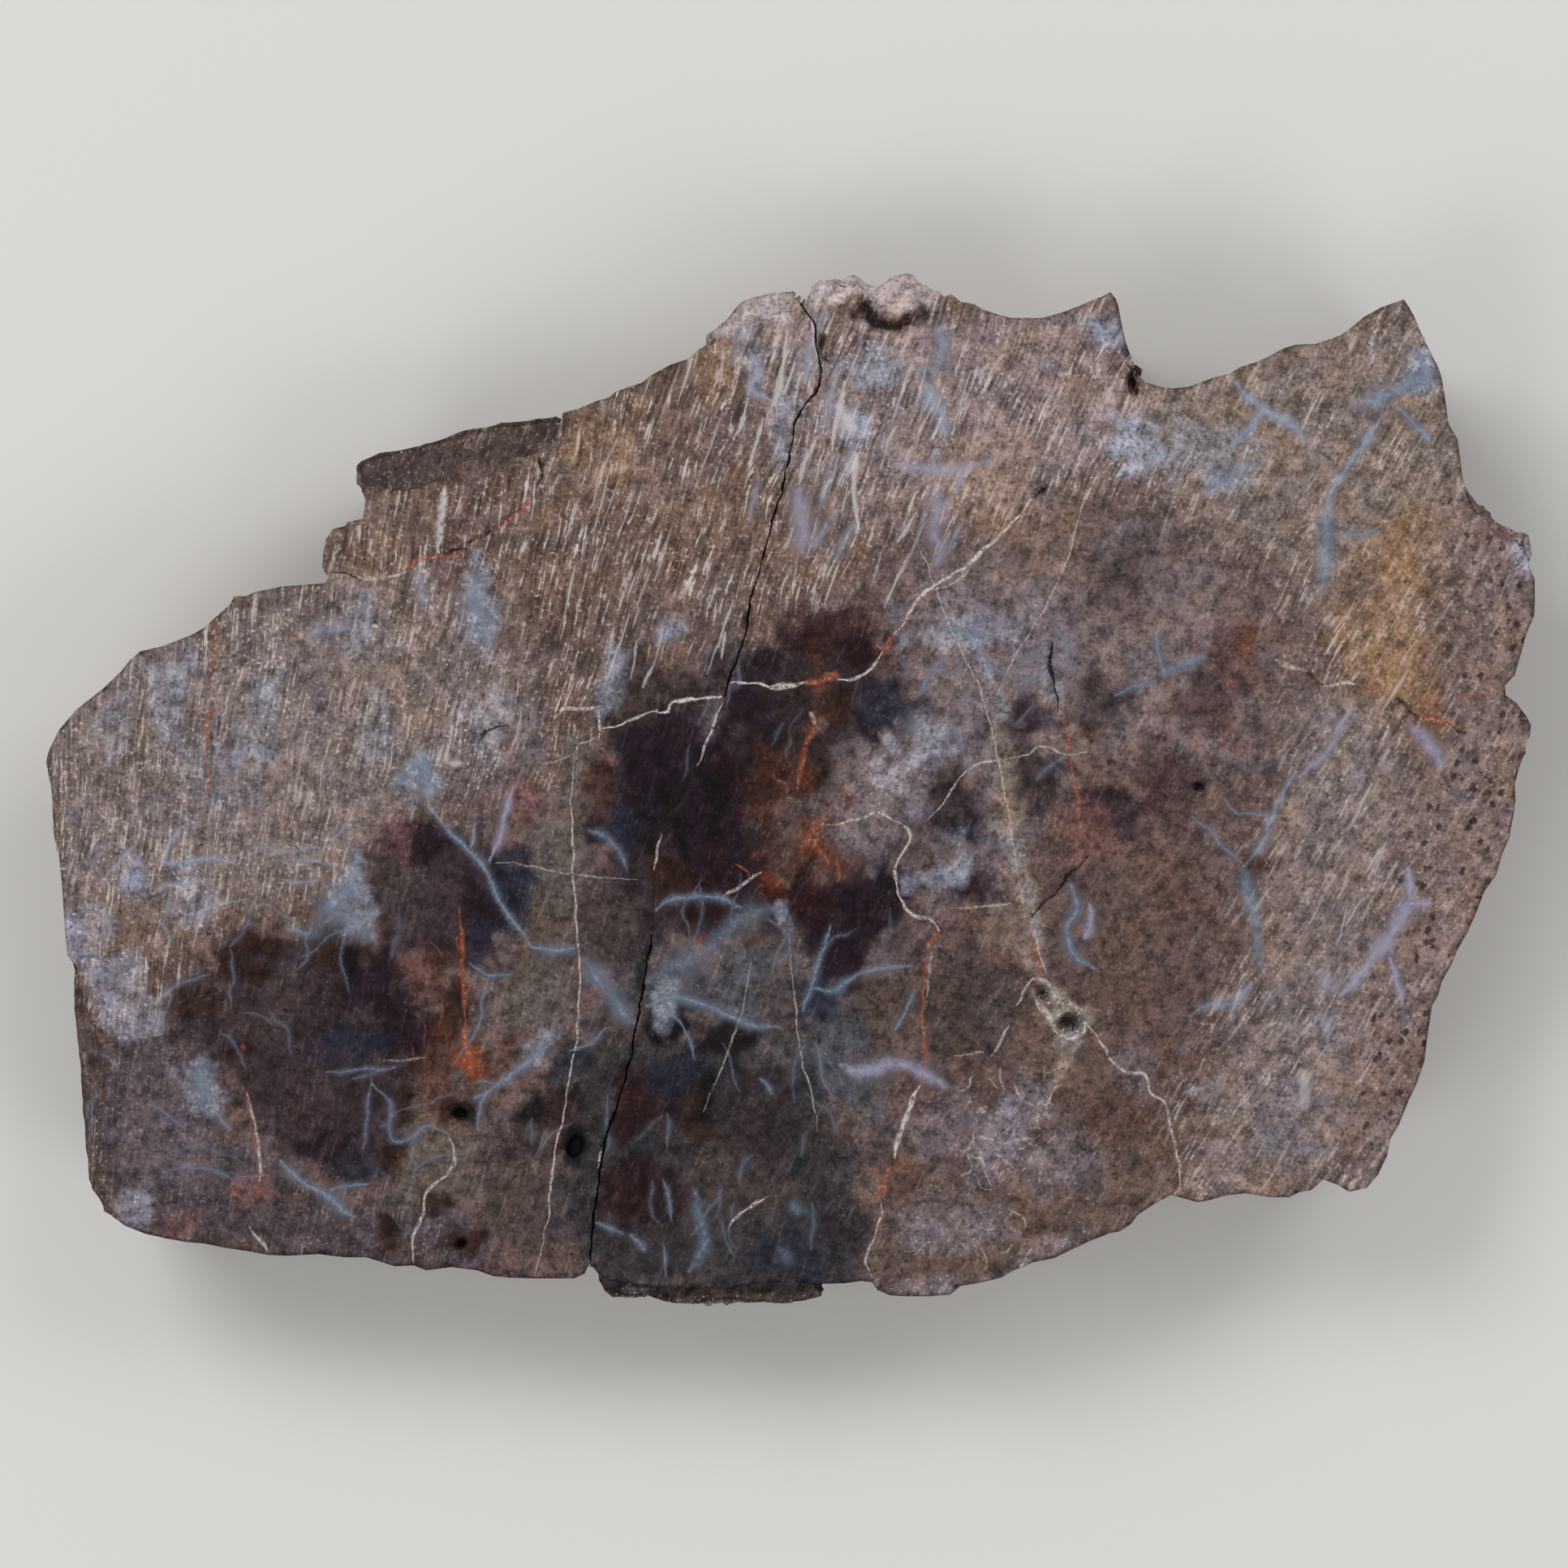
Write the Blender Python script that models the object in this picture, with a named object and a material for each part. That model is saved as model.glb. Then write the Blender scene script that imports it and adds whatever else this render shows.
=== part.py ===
"""Fossil metoposaur scute: one sawn slab of agatised bone, lying on its sawn back.

The slab is one natural piece. +X runs along its long side, +Y towards its sculptured edge,
and +Z is the sawn face that is looked at. The origin is at the bottom centre of its box.
The outline and the edge of the face were read by eye from a straight-down photograph, so
they are kept as pixels, and one real width turns them into metres.
"""

import math
from dataclasses import dataclass

import bmesh
import bpy
from mathutils import Vector, noise

# Driving dimensions, in metres
SLAB_WIDTH = 0.065
SLAB_THICKNESS = 0.0082

# The photograph's frame, in pixels: the slab's extents there
PHOTO_LEFT = 50.0
PHOTO_RIGHT = 1893.0
PHOTO_TOP = 329.0
PHOTO_BOTTOM = 1615.0
METRES_PER_PIXEL = SLAB_WIDTH / (PHOTO_RIGHT - PHOTO_LEFT)
PHOTO_CENTRE_X = 0.5 * (PHOTO_LEFT + PHOTO_RIGHT)
PHOTO_CENTRE_Y = 0.5 * (PHOTO_TOP + PHOTO_BOTTOM)

# The walls between the two sawn faces
EDGE_BEVEL = 0.00006
EDGE_DROP = 0.0002
PLAIN_KNEE = (0.5, 0.6)
NORMAL_REACH = 5
RELIEF_DEPTH = 0.0013
RELIEF_SIZE = 0.0038
RELIEF_OCTAVES = 3
RELIEF_FALLOFF = 0.8
RELIEF_STEP = 2.1
RELIEF_FADE_POWER = 3
SHELF_RELIEF = 0.00022
SHELF_RELIEF_SIZE = 0.0019
SHELF_FULL_WIDTH = 0.001
SHELF_CLEARANCE = 0.00006
RIB_DEPTH = 0.00035
RIB_SPACING = 0.0035
RIB_SLOPE = 0.3
SEED_OFFSET = Vector((3.1, 7.7, 1.3))
TINY_LENGTH = 1e-9
WELD_DISTANCE = 1e-7

# Open cracks and holes in the face
CRACK_HALF_WIDTH = 0.000055
CRACK_DEPTH = 0.0007
CRACK_RISE = 0.00002

MATERIAL_COLOUR = (0.115, 0.082, 0.074, 1.0)
MATERIAL_ROUGHNESS = 0.38

# The outline, clockwise in the photograph, from the left corner
LEFT_SHOULDER = [
    (54, 920), (71, 898), (93, 873), (126, 847), (148, 826), (159, 812), (172, 801), (199, 795),
    (235, 781), (249, 773), (266, 758), (282, 744), (288, 733), (302, 733), (313, 728), (347, 721),
    (363, 720), (400, 717), (403, 710), (396, 698), (397, 682), (400, 664), (409, 651), (423, 648),
    (427, 643), (446, 640),
]
UPPER_LEFT_SHELF = [
    (444, 615), (439, 601), (434, 586), (432, 570), (439, 562), (450, 556), (465, 550), (484, 548),
    (506, 544), (537, 535), (552, 530), (568, 523), (599, 518), (615, 512), (649, 510), (671, 508),
    (687, 506), (689, 525), (693, 507), (712, 502), (736, 492), (750, 488), (758, 481), (775, 475),
    (790, 470), (803, 460), (825, 448), (849, 440),
]
LEFT_CREST = [
    (857, 431), (864, 420), (865, 409), (879, 398), (887, 390), (896, 379), (909, 366), (927, 358),
    (949, 353), (968, 351), (981, 350), (984, 372), (989, 372), (990, 357), (996, 345), (1008, 337),
    (1036, 336), (1053, 331), (1062, 336), (1070, 342), (1080, 346), (1086, 343), (1099, 333),
    (1117, 329), (1128, 331), (1136, 342), (1150, 349), (1156, 358),
]
MIDDLE_PIT = [
    (1175, 362), (1184, 370), (1200, 373), (1215, 381), (1231, 386), (1246, 390), (1265, 390),
    (1284, 390), (1299, 386), (1312, 382), (1330, 375), (1349, 367), (1358, 364), (1369, 358),
    (1376, 367), (1379, 375), (1382, 390), (1385, 406), (1390, 425), (1397, 443), (1402, 458),
    (1411, 469), (1430, 475), (1446, 477), (1464, 475), (1478, 470), (1496, 463), (1515, 459),
    (1527, 451), (1549, 444), (1564, 437), (1580, 428), (1596, 423), (1620, 422), (1636, 417),
    (1652, 411), (1667, 400), (1680, 389), (1702, 377), (1730, 367),
]
RIGHT_CREST = [
    (1737, 377), (1745, 392), (1755, 406), (1769, 430), (1780, 452), (1786, 470), (1789, 495),
    (1792, 520), (1797, 539), (1800, 554), (1804, 576), (1809, 588), (1817, 603), (1828, 616),
    (1838, 627), (1849, 638), (1865, 643), (1876, 651), (1884, 659), (1887, 674), (1890, 692),
    (1893, 714), (1893, 741), (1892, 759), (1885, 775), (1880, 789), (1876, 805), (1868, 832),
    (1856, 845), (1857, 857), (1870, 866), (1882, 882), (1888, 893), (1887, 906), (1881, 920),
    (1882, 927), (1877, 936), (1872, 951),
]
RIGHT_SLANT = [
    (1868, 967), (1869, 986), (1866, 1007), (1861, 1034), (1853, 1052), (1845, 1079), (1830, 1100),
    (1820, 1127), (1810, 1149), (1798, 1170), (1790, 1189), (1778, 1210), (1774, 1226), (1766, 1240),
    (1763, 1261), (1759, 1288), (1757, 1307), (1747, 1336), (1738, 1355), (1725, 1387), (1714, 1405),
    (1711, 1424), (1699, 1449), (1685, 1465), (1663, 1470), (1650, 1462), (1631, 1455), (1616, 1468),
]
LOWER_RIGHT_EDGE = [
    (1600, 1471), (1588, 1477), (1566, 1477), (1547, 1474), (1534, 1472), (1510, 1475), (1484, 1482),
    (1475, 1483), (1462, 1479), (1443, 1474), (1430, 1481), (1418, 1488), (1402, 1499), (1394, 1510),
    (1380, 1519), (1368, 1521), (1343, 1531), (1324, 1540), (1299, 1552), (1274, 1557), (1252, 1566),
    (1234, 1576), (1218, 1580), (1200, 1584), (1184, 1586), (1171, 1597), (1146, 1599), (1118, 1599),
    (1097, 1598), (1081, 1591), (1075, 1582), (1062, 1580), (1040, 1583), (1016, 1584),
]
LOWER_CRUST_EDGE = [
    (1015, 1602), (999, 1608), (974, 1612), (937, 1612), (912, 1613), (868, 1615), (831, 1613),
    (818, 1610), (800, 1603), (775, 1607), (753, 1605), (740, 1595), (734, 1581), (732, 1566),
    (726, 1557), (720, 1571),
]
LOWER_LEFT_EDGE = [
    (707, 1577), (684, 1577), (659, 1577), (628, 1576), (607, 1574), (588, 1567), (556, 1563),
    (525, 1567), (510, 1561), (486, 1562), (471, 1557), (451, 1551), (424, 1551), (393, 1547),
    (354, 1549), (330, 1548), (303, 1543), (276, 1539), (252, 1534), (229, 1532), (206, 1528),
    (179, 1522), (155, 1518),
]
LEFT_SIDE = [
    (140, 1510), (122, 1497), (116, 1481), (106, 1469), (103, 1454), (100, 1430), (97, 1399),
    (95, 1364), (92, 1333), (89, 1306), (87, 1279), (85, 1251), (84, 1220), (85, 1197), (79, 1177),
    (77, 1150), (76, 1116), (73, 1088), (68, 1063), (64, 1045), (60, 1023), (57, 1001), (56, 979),
    (53, 960), (50, 939),
]
OUTLINE = (
    LEFT_SHOULDER + UPPER_LEFT_SHELF + LEFT_CREST + MIDDLE_PIT + RIGHT_CREST + RIGHT_SLANT
    + LOWER_RIGHT_EDGE + LOWER_CRUST_EDGE + LOWER_LEFT_EDGE + LEFT_SIDE
)


@dataclass(frozen=True)
class Ledge:
    """A stretch of the rim where the rough wall shows outside the edge of the sawn face.

    start and end are outline points, and face_edge runs from the one to the other in the
    same sense. drop is how far the wall's brow lies under the face. The ledge has a knee,
    across its width from the brow (0) to the face (1), and up its drop (0 to 1).
    """

    start: tuple
    end: tuple
    face_edge: tuple
    drop: float
    knee_across: float
    knee_up: float


LEDGES = [
    Ledge((446, 640), (689, 525), (
        (447, 639), (450, 618), (453, 598), (487, 605), (506, 605), (537, 592), (568, 594), (587, 591),
        (609, 580), (640, 566), (680, 550), (689, 527),
    ), 0.0017, 0.8, 0.3),
    Ledge((857, 431), (984, 372), (
        (860, 431), (880, 420), (900, 405), (920, 398), (945, 392), (965, 382), (984, 374),
    ), 0.0010, 0.7, 0.45),
    Ledge((989, 372), (1175, 362), (
        (990, 371), (1005, 355), (1030, 348), (1050, 352), (1060, 365), (1068, 385), (1075, 402),
        (1105, 407), (1130, 403), (1145, 388), (1157, 364), (1172, 362),
    ), 0.0011, 0.35, 0.8),
    Ledge((1745, 392), (1797, 539), (
        (1744, 393), (1757, 424), (1771, 456), (1779, 495), (1785, 523), (1796, 540),
    ), 0.0005, 0.5, 0.6),
    Ledge((1797, 539), (1893, 714), (
        (1796, 541), (1803, 595), (1815, 625), (1845, 658), (1866, 666), (1882, 692), (1891, 714),
    ), 0.0016, 0.45, 0.35),
    Ledge((1016, 1584), (732, 1566), (
        (1012, 1582), (1002, 1582), (974, 1581), (952, 1579), (912, 1585), (868, 1590),
        (818, 1585), (775, 1582), (742, 1575), (734, 1566),
    ), 0.0022, 0.8, 0.15),
    Ledge((155, 1518), (79, 1177), (
        (153, 1510), (128, 1481), (120, 1446), (120, 1415), (122, 1384), (128, 1345),
        (126, 1314), (122, 1282), (112, 1251), (101, 1228), (97, 1195), (83, 1177),
    ), 0.0026, 0.6, 0.35),
    Ledge((77, 1150), (71, 898), (
        (80, 1148), (76, 1085), (71, 1040), (66, 1000), (62, 960), (60, 925), (73, 899),
    ), 0.0020, 0.5, 0.4),
]

# The open crack that runs from the notch in the left crest to the notch in the lower edge
CRACK_RUNS = [
    [
        (986, 374), (997, 388), (1003, 400), (1005, 420), (1012, 455), (1010, 475), (1003, 485),
        (985, 507), (980, 520), (977, 540), (967, 590), (950, 648), (940, 685), (925, 740),
        (915, 795), (900, 830), (893, 860),
    ],
    [
        (803, 1150), (798, 1185), (790, 1230), (780, 1290), (770, 1330), (758, 1370), (745, 1409),
        (737, 1458), (733, 1490), (730, 1520), (727, 1555),
    ],
]


@dataclass(frozen=True)
class Hole:
    """A hollow in the face: its middle and half sizes in pixels, its turn and its depth."""

    centre: tuple
    half_long: float
    half_short: float
    turn_degrees: float
    depth: float


HOLES = [
    Hole((1317, 1258), 17, 12, 20, 0.0010),
    Hole((1285, 1223), 12, 9, -40, 0.0007),
    Hole((1396, 470), 17, 6, 80, 0.0006),
    Hole((709, 1412), 16, 11, 70, 0.0006),
    Hole((566, 1372), 10, 8, 0, 0.0005),
    Hole((568, 1532), 9, 7, 30, 0.0005),
    Hole((1477, 969), 9, 7, 0, 0.0004),
    Hole((1013, 424), 15, 7, 80, 0.0006),
]
HOLE_SUBDIVISIONS = 2
HOLE_LIFT = 0.25
HOLE_OVERSIZE = 1.05
HOLE_DEEPENING = 1.25


@dataclass(frozen=True)
class Level:
    """A ring of the wall: its height as a share of the wall, how far it steps in, and how
    many times its outline is smoothed."""

    share: float
    inset: float
    smoothing: int


WALL_LEVELS = [
    Level(0.0, 0.00050, 4),
    Level(0.06, 0.00032, 4),
    Level(0.24, 0.00026, 3),
    Level(0.44, 0.00018, 3),
    Level(0.63, 0.00012, 2),
    Level(0.82, 0.00006, 1),
]


def slab_point(pixel):
    """Turns a place in the photograph into metres on the slab."""
    across = (pixel[0] - PHOTO_CENTRE_X) * METRES_PER_PIXEL
    up = (PHOTO_CENTRE_Y - pixel[1]) * METRES_PER_PIXEL
    return Vector((across, up))


def inward_directions(points):
    """Unit vectors into the slab, each averaged over its neighbours' chord."""
    count = len(points)
    directions = []
    for index in range(count):
        chord = points[(index + NORMAL_REACH) % count] - points[index - NORMAL_REACH]
        directions.append(Vector((chord.y, -chord.x)).normalized())
    return directions


def smoothed(points, passes):
    """Pulls each point of a closed loop towards the middle of its neighbours."""
    count = len(points)
    for _ in range(passes):
        points = [
            0.5 * points[index] + 0.25 * (points[index - 1] + points[(index + 1) % count])
            for index in range(count)
        ]
    return points


def spread_along(path, shares):
    """Places on a polyline at the given shares of its length."""
    lengths = [0.0]
    for first, second in zip(path, path[1:]):
        lengths.append(lengths[-1] + (second - first).length)
    places = []
    for share in shares:
        goal = share * lengths[-1]
        leg = 0
        while leg < len(path) - 2 and lengths[leg + 1] < goal:
            leg += 1
        span = max(lengths[leg + 1] - lengths[leg], TINY_LENGTH)
        places.append(path[leg].lerp(path[leg + 1], (goal - lengths[leg]) / span))
    return places


def rough(place, size):
    """Natural unevenness from -1 to 1 at a place in space."""
    return noise.fractal(place / size + SEED_OFFSET, RELIEF_FALLOFF, RELIEF_STEP, RELIEF_OCTAVES)


def wall_relief(point, inward, height):
    """How far the rough wall lies back: broad lumps and pits, with the ribs of the bone."""
    place = Vector((point.x, point.y, height))
    lumps = 0.5 + 0.5 * rough(place, RELIEF_SIZE)
    along = point.x * inward.y - point.y * inward.x
    ribs = 0.5 + 0.5 * math.sin(2.0 * math.pi * (along + RIB_SLOPE * height) / RIB_SPACING)
    fade = 1.0 - (height / SLAB_THICKNESS) ** RELIEF_FADE_POWER
    return fade * (RELIEF_DEPTH * max(lumps, 0.0) + RIB_DEPTH * ribs)


def face_edge_and_drops(outline, inward):
    """The edge of the sawn face for every outline point, with each point's brow and knee."""
    edge = [point + EDGE_BEVEL * direction for point, direction in zip(outline, inward)]
    drops = [EDGE_DROP] * len(outline)
    knees = [PLAIN_KNEE] * len(outline)
    for ledge in LEDGES:
        start = OUTLINE.index(ledge.start)
        end = OUTLINE.index(ledge.end)
        span = (end - start) % len(outline)
        stretch = [(start + step) % len(outline) for step in range(span + 1)]
        lengths = [0.0]
        for first, second in zip(stretch, stretch[1:]):
            lengths.append(lengths[-1] + (outline[second] - outline[first]).length)
        shares = [length / lengths[-1] for length in lengths]
        path = [slab_point(pixel) for pixel in ledge.face_edge]
        for index, share, place in zip(stretch, shares, spread_along(path, shares)):
            edge[index] = place
            width = (place - outline[index]).length
            drops[index] = EDGE_DROP + (ledge.drop - EDGE_DROP) * min(1.0, width / ledge.drop)
            knees[index] = (ledge.knee_across, ledge.knee_up)
    return edge, drops, knees


def slab_rings():
    """The loops of the slab from the base up to the edge of the sawn face."""
    outline = [slab_point(pixel) for pixel in OUTLINE]
    inward = inward_directions(outline)
    edge, drops, knees = face_edge_and_drops(outline, inward)
    rings = []
    for level in WALL_LEVELS:
        ring = []
        for index, point in enumerate(smoothed(outline, level.smoothing)):
            height = level.share * (SLAB_THICKNESS - drops[index])
            back = level.inset + wall_relief(point, inward[index], height)
            place = point + back * inward[index]
            ring.append(Vector((place.x, place.y, height)))
        rings.append(smoothed(ring, level.smoothing))
    brow = []
    knee = []
    face = []
    for index, point in enumerate(outline):
        across, up = knees[index]
        brow_height = SLAB_THICKNESS - drops[index]
        brow.append(Vector((point.x, point.y, brow_height)))
        place = point.lerp(edge[index], across)
        lift = rough(Vector((place.x, place.y, 0.0)), SHELF_RELIEF_SIZE)
        width = min(1.0, (edge[index] - point).length / SHELF_FULL_WIDTH)
        height = brow_height + up * drops[index] + SHELF_RELIEF * lift * width
        knee.append(Vector((place.x, place.y, min(height, SLAB_THICKNESS - SHELF_CLEARANCE))))
        face.append(Vector((edge[index].x, edge[index].y, SLAB_THICKNESS)))
    return rings + [brow, knee, face]


def loft(rings, name):
    """Joins closed loops of equal length into one closed mesh with flat ends."""
    mesh = bpy.data.meshes.new(name)
    shape = bmesh.new()
    loops = [[shape.verts.new(place) for place in ring] for ring in rings]
    count = len(loops[0])
    for lower, upper in zip(loops, loops[1:]):
        for index in range(count):
            after = (index + 1) % count
            shape.faces.new((lower[after], lower[index], upper[index], upper[after]))
    shape.faces.new(loops[0])
    shape.faces.new(list(reversed(loops[-1])))
    bmesh.ops.recalc_face_normals(shape, faces=shape.faces)
    bmesh.ops.triangulate(shape, faces=shape.faces)
    shape.to_mesh(mesh)
    shape.free()
    return mesh


def as_cutter(cutter, collection):
    """Moves an object to the cutters and keeps it out of renders."""
    for home in list(cutter.users_collection):
        home.objects.unlink(cutter)
    collection.objects.link(cutter)
    cutter.hide_render = True
    cutter.display_type = "WIRE"
    return cutter


def crack_cutter(number, run, collection):
    """A thin four-sided wedge that follows an open crack at the face."""
    curve = bpy.data.curves.new(f"crack_path_{number}", "CURVE")
    curve.dimensions = "3D"
    curve.bevel_depth = CRACK_HALF_WIDTH
    curve.bevel_resolution = 0
    curve.use_fill_caps = True
    spline = curve.splines.new("POLY")
    spline.points.add(len(run) - 1)
    for point, pixel in zip(spline.points, run):
        place = slab_point(pixel)
        point.co = (place.x, place.y, 0.0, 1.0)
    guide = bpy.data.objects.new(f"crack_path_{number}", curve)
    collection.objects.link(guide)
    bpy.context.view_layer.update()
    evaluated = guide.evaluated_get(bpy.context.evaluated_depsgraph_get())
    mesh = bpy.data.meshes.new_from_object(evaluated)
    shape = bmesh.new()
    shape.from_mesh(mesh)
    bmesh.ops.remove_doubles(shape, verts=shape.verts, dist=WELD_DISTANCE)
    bmesh.ops.recalc_face_normals(shape, faces=shape.faces)
    shape.to_mesh(mesh)
    shape.free()
    cutter = bpy.data.objects.new(f"crack_cutter_{number}", mesh)
    cutter.matrix_world = guide.matrix_world
    cutter.location.z = SLAB_THICKNESS + CRACK_RISE
    cutter.scale.z = CRACK_DEPTH / CRACK_HALF_WIDTH
    bpy.data.objects.remove(guide)
    collection.objects.link(cutter)
    return as_cutter(cutter, collection)


def hole_cutter(number, hole, collection):
    """A flattened ball that hollows the face."""
    bpy.ops.mesh.primitive_ico_sphere_add(subdivisions=HOLE_SUBDIVISIONS, radius=1.0)
    cutter = bpy.context.object
    cutter.name = f"hole_cutter_{number}"
    place = slab_point(hole.centre)
    cutter.location = (place.x, place.y, SLAB_THICKNESS + HOLE_LIFT * hole.depth)
    cutter.rotation_euler = (0.0, 0.0, math.radians(hole.turn_degrees))
    cutter.scale = (
        HOLE_OVERSIZE * hole.half_long * METRES_PER_PIXEL,
        HOLE_OVERSIZE * hole.half_short * METRES_PER_PIXEL,
        HOLE_DEEPENING * hole.depth,
    )
    return as_cutter(cutter, collection)


def bone_material():
    """Purple-brown agatised bone."""
    material = bpy.data.materials.new("agatised_bone")
    material.use_nodes = True
    shader = material.node_tree.nodes["Principled BSDF"]
    shader.inputs["Base Color"].default_value = MATERIAL_COLOUR
    shader.inputs["Roughness"].default_value = MATERIAL_ROUGHNESS
    shader.inputs["Metallic"].default_value = 0.0
    return material


def new_collection(name):
    """A collection linked to the scene."""
    collection = bpy.data.collections.new(name)
    bpy.context.scene.collection.children.link(collection)
    return collection


def main():
    """Models the slab, then opens its crack and its holes."""
    for old in list(bpy.data.objects):
        bpy.data.objects.remove(old, do_unlink=True)
    parts = new_collection("fossil_metoposaur_scute")
    cutters = new_collection("cutters")
    slab = bpy.data.objects.new("scute_slab", loft(slab_rings(), "scute_slab"))
    parts.objects.link(slab)
    slab.data.materials.append(bone_material())
    tools = [crack_cutter(number, run, cutters) for number, run in enumerate(CRACK_RUNS)]
    tools += [hole_cutter(number, hole, cutters) for number, hole in enumerate(HOLES)]
    for tool in tools:
        cut = slab.modifiers.new(tool.name, "BOOLEAN")
        cut.operation = "DIFFERENCE"
        cut.solver = "EXACT"
        cut.object = tool


main()
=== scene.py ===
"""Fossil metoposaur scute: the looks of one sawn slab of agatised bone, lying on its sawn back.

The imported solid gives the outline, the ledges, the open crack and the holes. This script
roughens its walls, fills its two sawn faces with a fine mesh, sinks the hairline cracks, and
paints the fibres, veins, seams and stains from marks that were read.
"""

import logging
import math
import random
from dataclasses import dataclass, field
from enum import Enum
from typing import Any, Iterable, Sequence

import bmesh
import bpy
import numpy as np
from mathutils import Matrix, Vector, geometry, kdtree, noise


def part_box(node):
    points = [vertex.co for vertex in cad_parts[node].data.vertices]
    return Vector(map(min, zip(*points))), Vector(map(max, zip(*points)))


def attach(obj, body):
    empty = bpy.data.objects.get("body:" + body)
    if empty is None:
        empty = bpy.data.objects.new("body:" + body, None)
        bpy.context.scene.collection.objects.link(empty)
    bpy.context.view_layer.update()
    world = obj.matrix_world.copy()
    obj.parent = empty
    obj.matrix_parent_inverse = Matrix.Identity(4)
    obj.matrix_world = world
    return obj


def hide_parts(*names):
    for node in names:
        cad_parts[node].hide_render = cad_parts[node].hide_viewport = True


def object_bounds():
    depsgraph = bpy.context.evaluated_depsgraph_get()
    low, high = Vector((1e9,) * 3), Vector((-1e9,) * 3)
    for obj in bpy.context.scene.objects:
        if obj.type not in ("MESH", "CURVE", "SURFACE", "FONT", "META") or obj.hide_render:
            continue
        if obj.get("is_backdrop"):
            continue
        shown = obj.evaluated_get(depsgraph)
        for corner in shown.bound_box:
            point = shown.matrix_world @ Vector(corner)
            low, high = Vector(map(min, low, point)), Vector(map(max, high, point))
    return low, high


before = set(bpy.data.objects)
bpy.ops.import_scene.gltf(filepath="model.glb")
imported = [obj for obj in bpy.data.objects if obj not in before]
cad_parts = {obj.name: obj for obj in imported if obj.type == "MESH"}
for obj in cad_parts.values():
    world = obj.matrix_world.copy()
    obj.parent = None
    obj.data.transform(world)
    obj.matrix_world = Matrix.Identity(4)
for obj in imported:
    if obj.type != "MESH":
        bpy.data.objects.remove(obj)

Pixel = tuple[float, float]
Colour = tuple[float, float, float]
Pair = tuple[float, float]
Triple = tuple[float, float, float]

MM = 0.001
SLAB_NODE = "scute_slab"
FLAT_TOLERANCE = 1e-6
WELD = 1e-7
TINY = 1e-9
FULL_TURN = (6.3, 6.3, 6.3)
CURVE_CUTS = 8
THREAD_LEGS = 4
THREAD_SEED = 17
ROW_SHIFTS = (0.25, 0.75)
SEED_IN_DEPTH = 0.37
SOFTNESS_SHARE = 0.45
LEAST_SOFTNESS = 4.0

log = logging.getLogger("scute")


class Mark(Enum):
    """What a line on the sawn face is made of."""

    # Open cracks and holes, coloured with painted shade and some brown fill.
    OPEN = "open"
    SEAM = "seam"
    RUST = "rust"
    BLUE = "blue"
    LILAC = "lilac"
    STREAK = "streak"


@dataclass(frozen=True)
class Shade:
    """What an area looks like: its colour, and how fibrous, porous and speckled it is."""

    colour: Colour
    fibre: float = 0.1
    pores: float = 0.0
    specks: float = 0.1

    @property
    def row(self) -> np.ndarray:
        """Red, green, blue, fibre, pores and specks."""
        return np.array([*self.colour, self.fibre, self.pores, self.specks])


class Tint(Enum):
    """The shades of the sawn face."""

    BROWN = Shade((110, 90, 82), 1.0, 0.0, 0.4)
    ASH = Shade((120, 106, 103), 0.6, 0.1, 0.5)
    PALE = Shade((136, 119, 118), 0.8, 0.0, 0.4)
    EAR = Shade((126, 110, 102), 0.45, 0.3, 0.3)
    TAN = Shade((148, 117, 93), 0.5, 0.3, 0.25)
    RIM = Shade((118, 99, 94), 0.3, 1.0, 0.3)
    FLANK = Shade((121, 106, 103), 0.45, 0.25, 0.25)
    HEATH = Shade((90, 73, 70), 0.12, 0.0, 0.08)
    MAUVE = Shade((112, 97, 96), 0.12, 0.0, 0.08)
    UMBER = Shade((87, 68, 64), 0.08, 0.0, 0.08)
    CLAY = Shade((92, 74, 66), 0.08, 0.0, 0.1)
    LEAD = Shade((71, 60, 64), 0.1, 0.0, 0.15)
    STONE = Shade((68, 56, 53), 0.08, 0.0, 0.04)
    OLIVE = Shade((88, 78, 73), 0.1, 0.0, 0.08)
    MOSS = Shade((40, 38, 41), 0.04, 0.0, 0.03)
    SHADOW = Shade((48, 36, 40), 0.04, 0.0, 0.04)
    SMOKE = Shade((42, 31, 34), 0.04, 0.0, 0.03)
    PLUM = Shade((26, 14, 24), 0.03, 0.0, 0.02)
    MAROON = Shade((34, 12, 14), 0.03, 0.0, 0.02)
    COAL = Shade((10, 6, 8), 0.0, 0.0, 0.02)
    NAVY = Shade((32, 34, 50), 0.04, 0.0, 0.03)
    SLATE = Shade((62, 70, 80), 0.04, 0.0, 0.08)
    SEPIA = Shade((42, 23, 16), 0.03, 0.0, 0.02)
    RUSSET = Shade((72, 42, 31), 0.04, 0.0, 0.04)
    RUST = Shade((104, 42, 28), 0.04, 0.0, 0.1)
    OCHRE = Shade((108, 54, 26), 0.04, 0.0, 0.08)
    ROSE = Shade((106, 72, 70), 0.1, 0.0, 0.15)
    DUSK = Shade((108, 96, 102), 0.1, 0.0, 0.2)
    SKY = Shade((140, 146, 163), 0.15, 0.0, 0.4)
    MILK = Shade((136, 131, 143), 0.25, 0.0, 0.8)
    SAND = Shade((134, 119, 107), 0.1, 0.0, 0.2)
    BAND = Shade((78, 63, 60), 0.4, 0.4, 0.4)
    CHIP = Shade((162, 149, 149), 0.2, 0.2, 0.8)
    LUMP = Shade((170, 156, 156), 0.1, 0.0, 0.6)
    RIND = Shade((34, 20, 20), 0.1)
    CRUST = Shade((96, 84, 80), 0.1, 0.4, 1.0)
    # Painted shade: a near-black strip along the step down to the bottom crust.
    GAP_SHADE = Shade((14, 10, 9), 0.0)
    VUG = Shade((146, 135, 129), 0.0, 0.0, 0.9)


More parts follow.
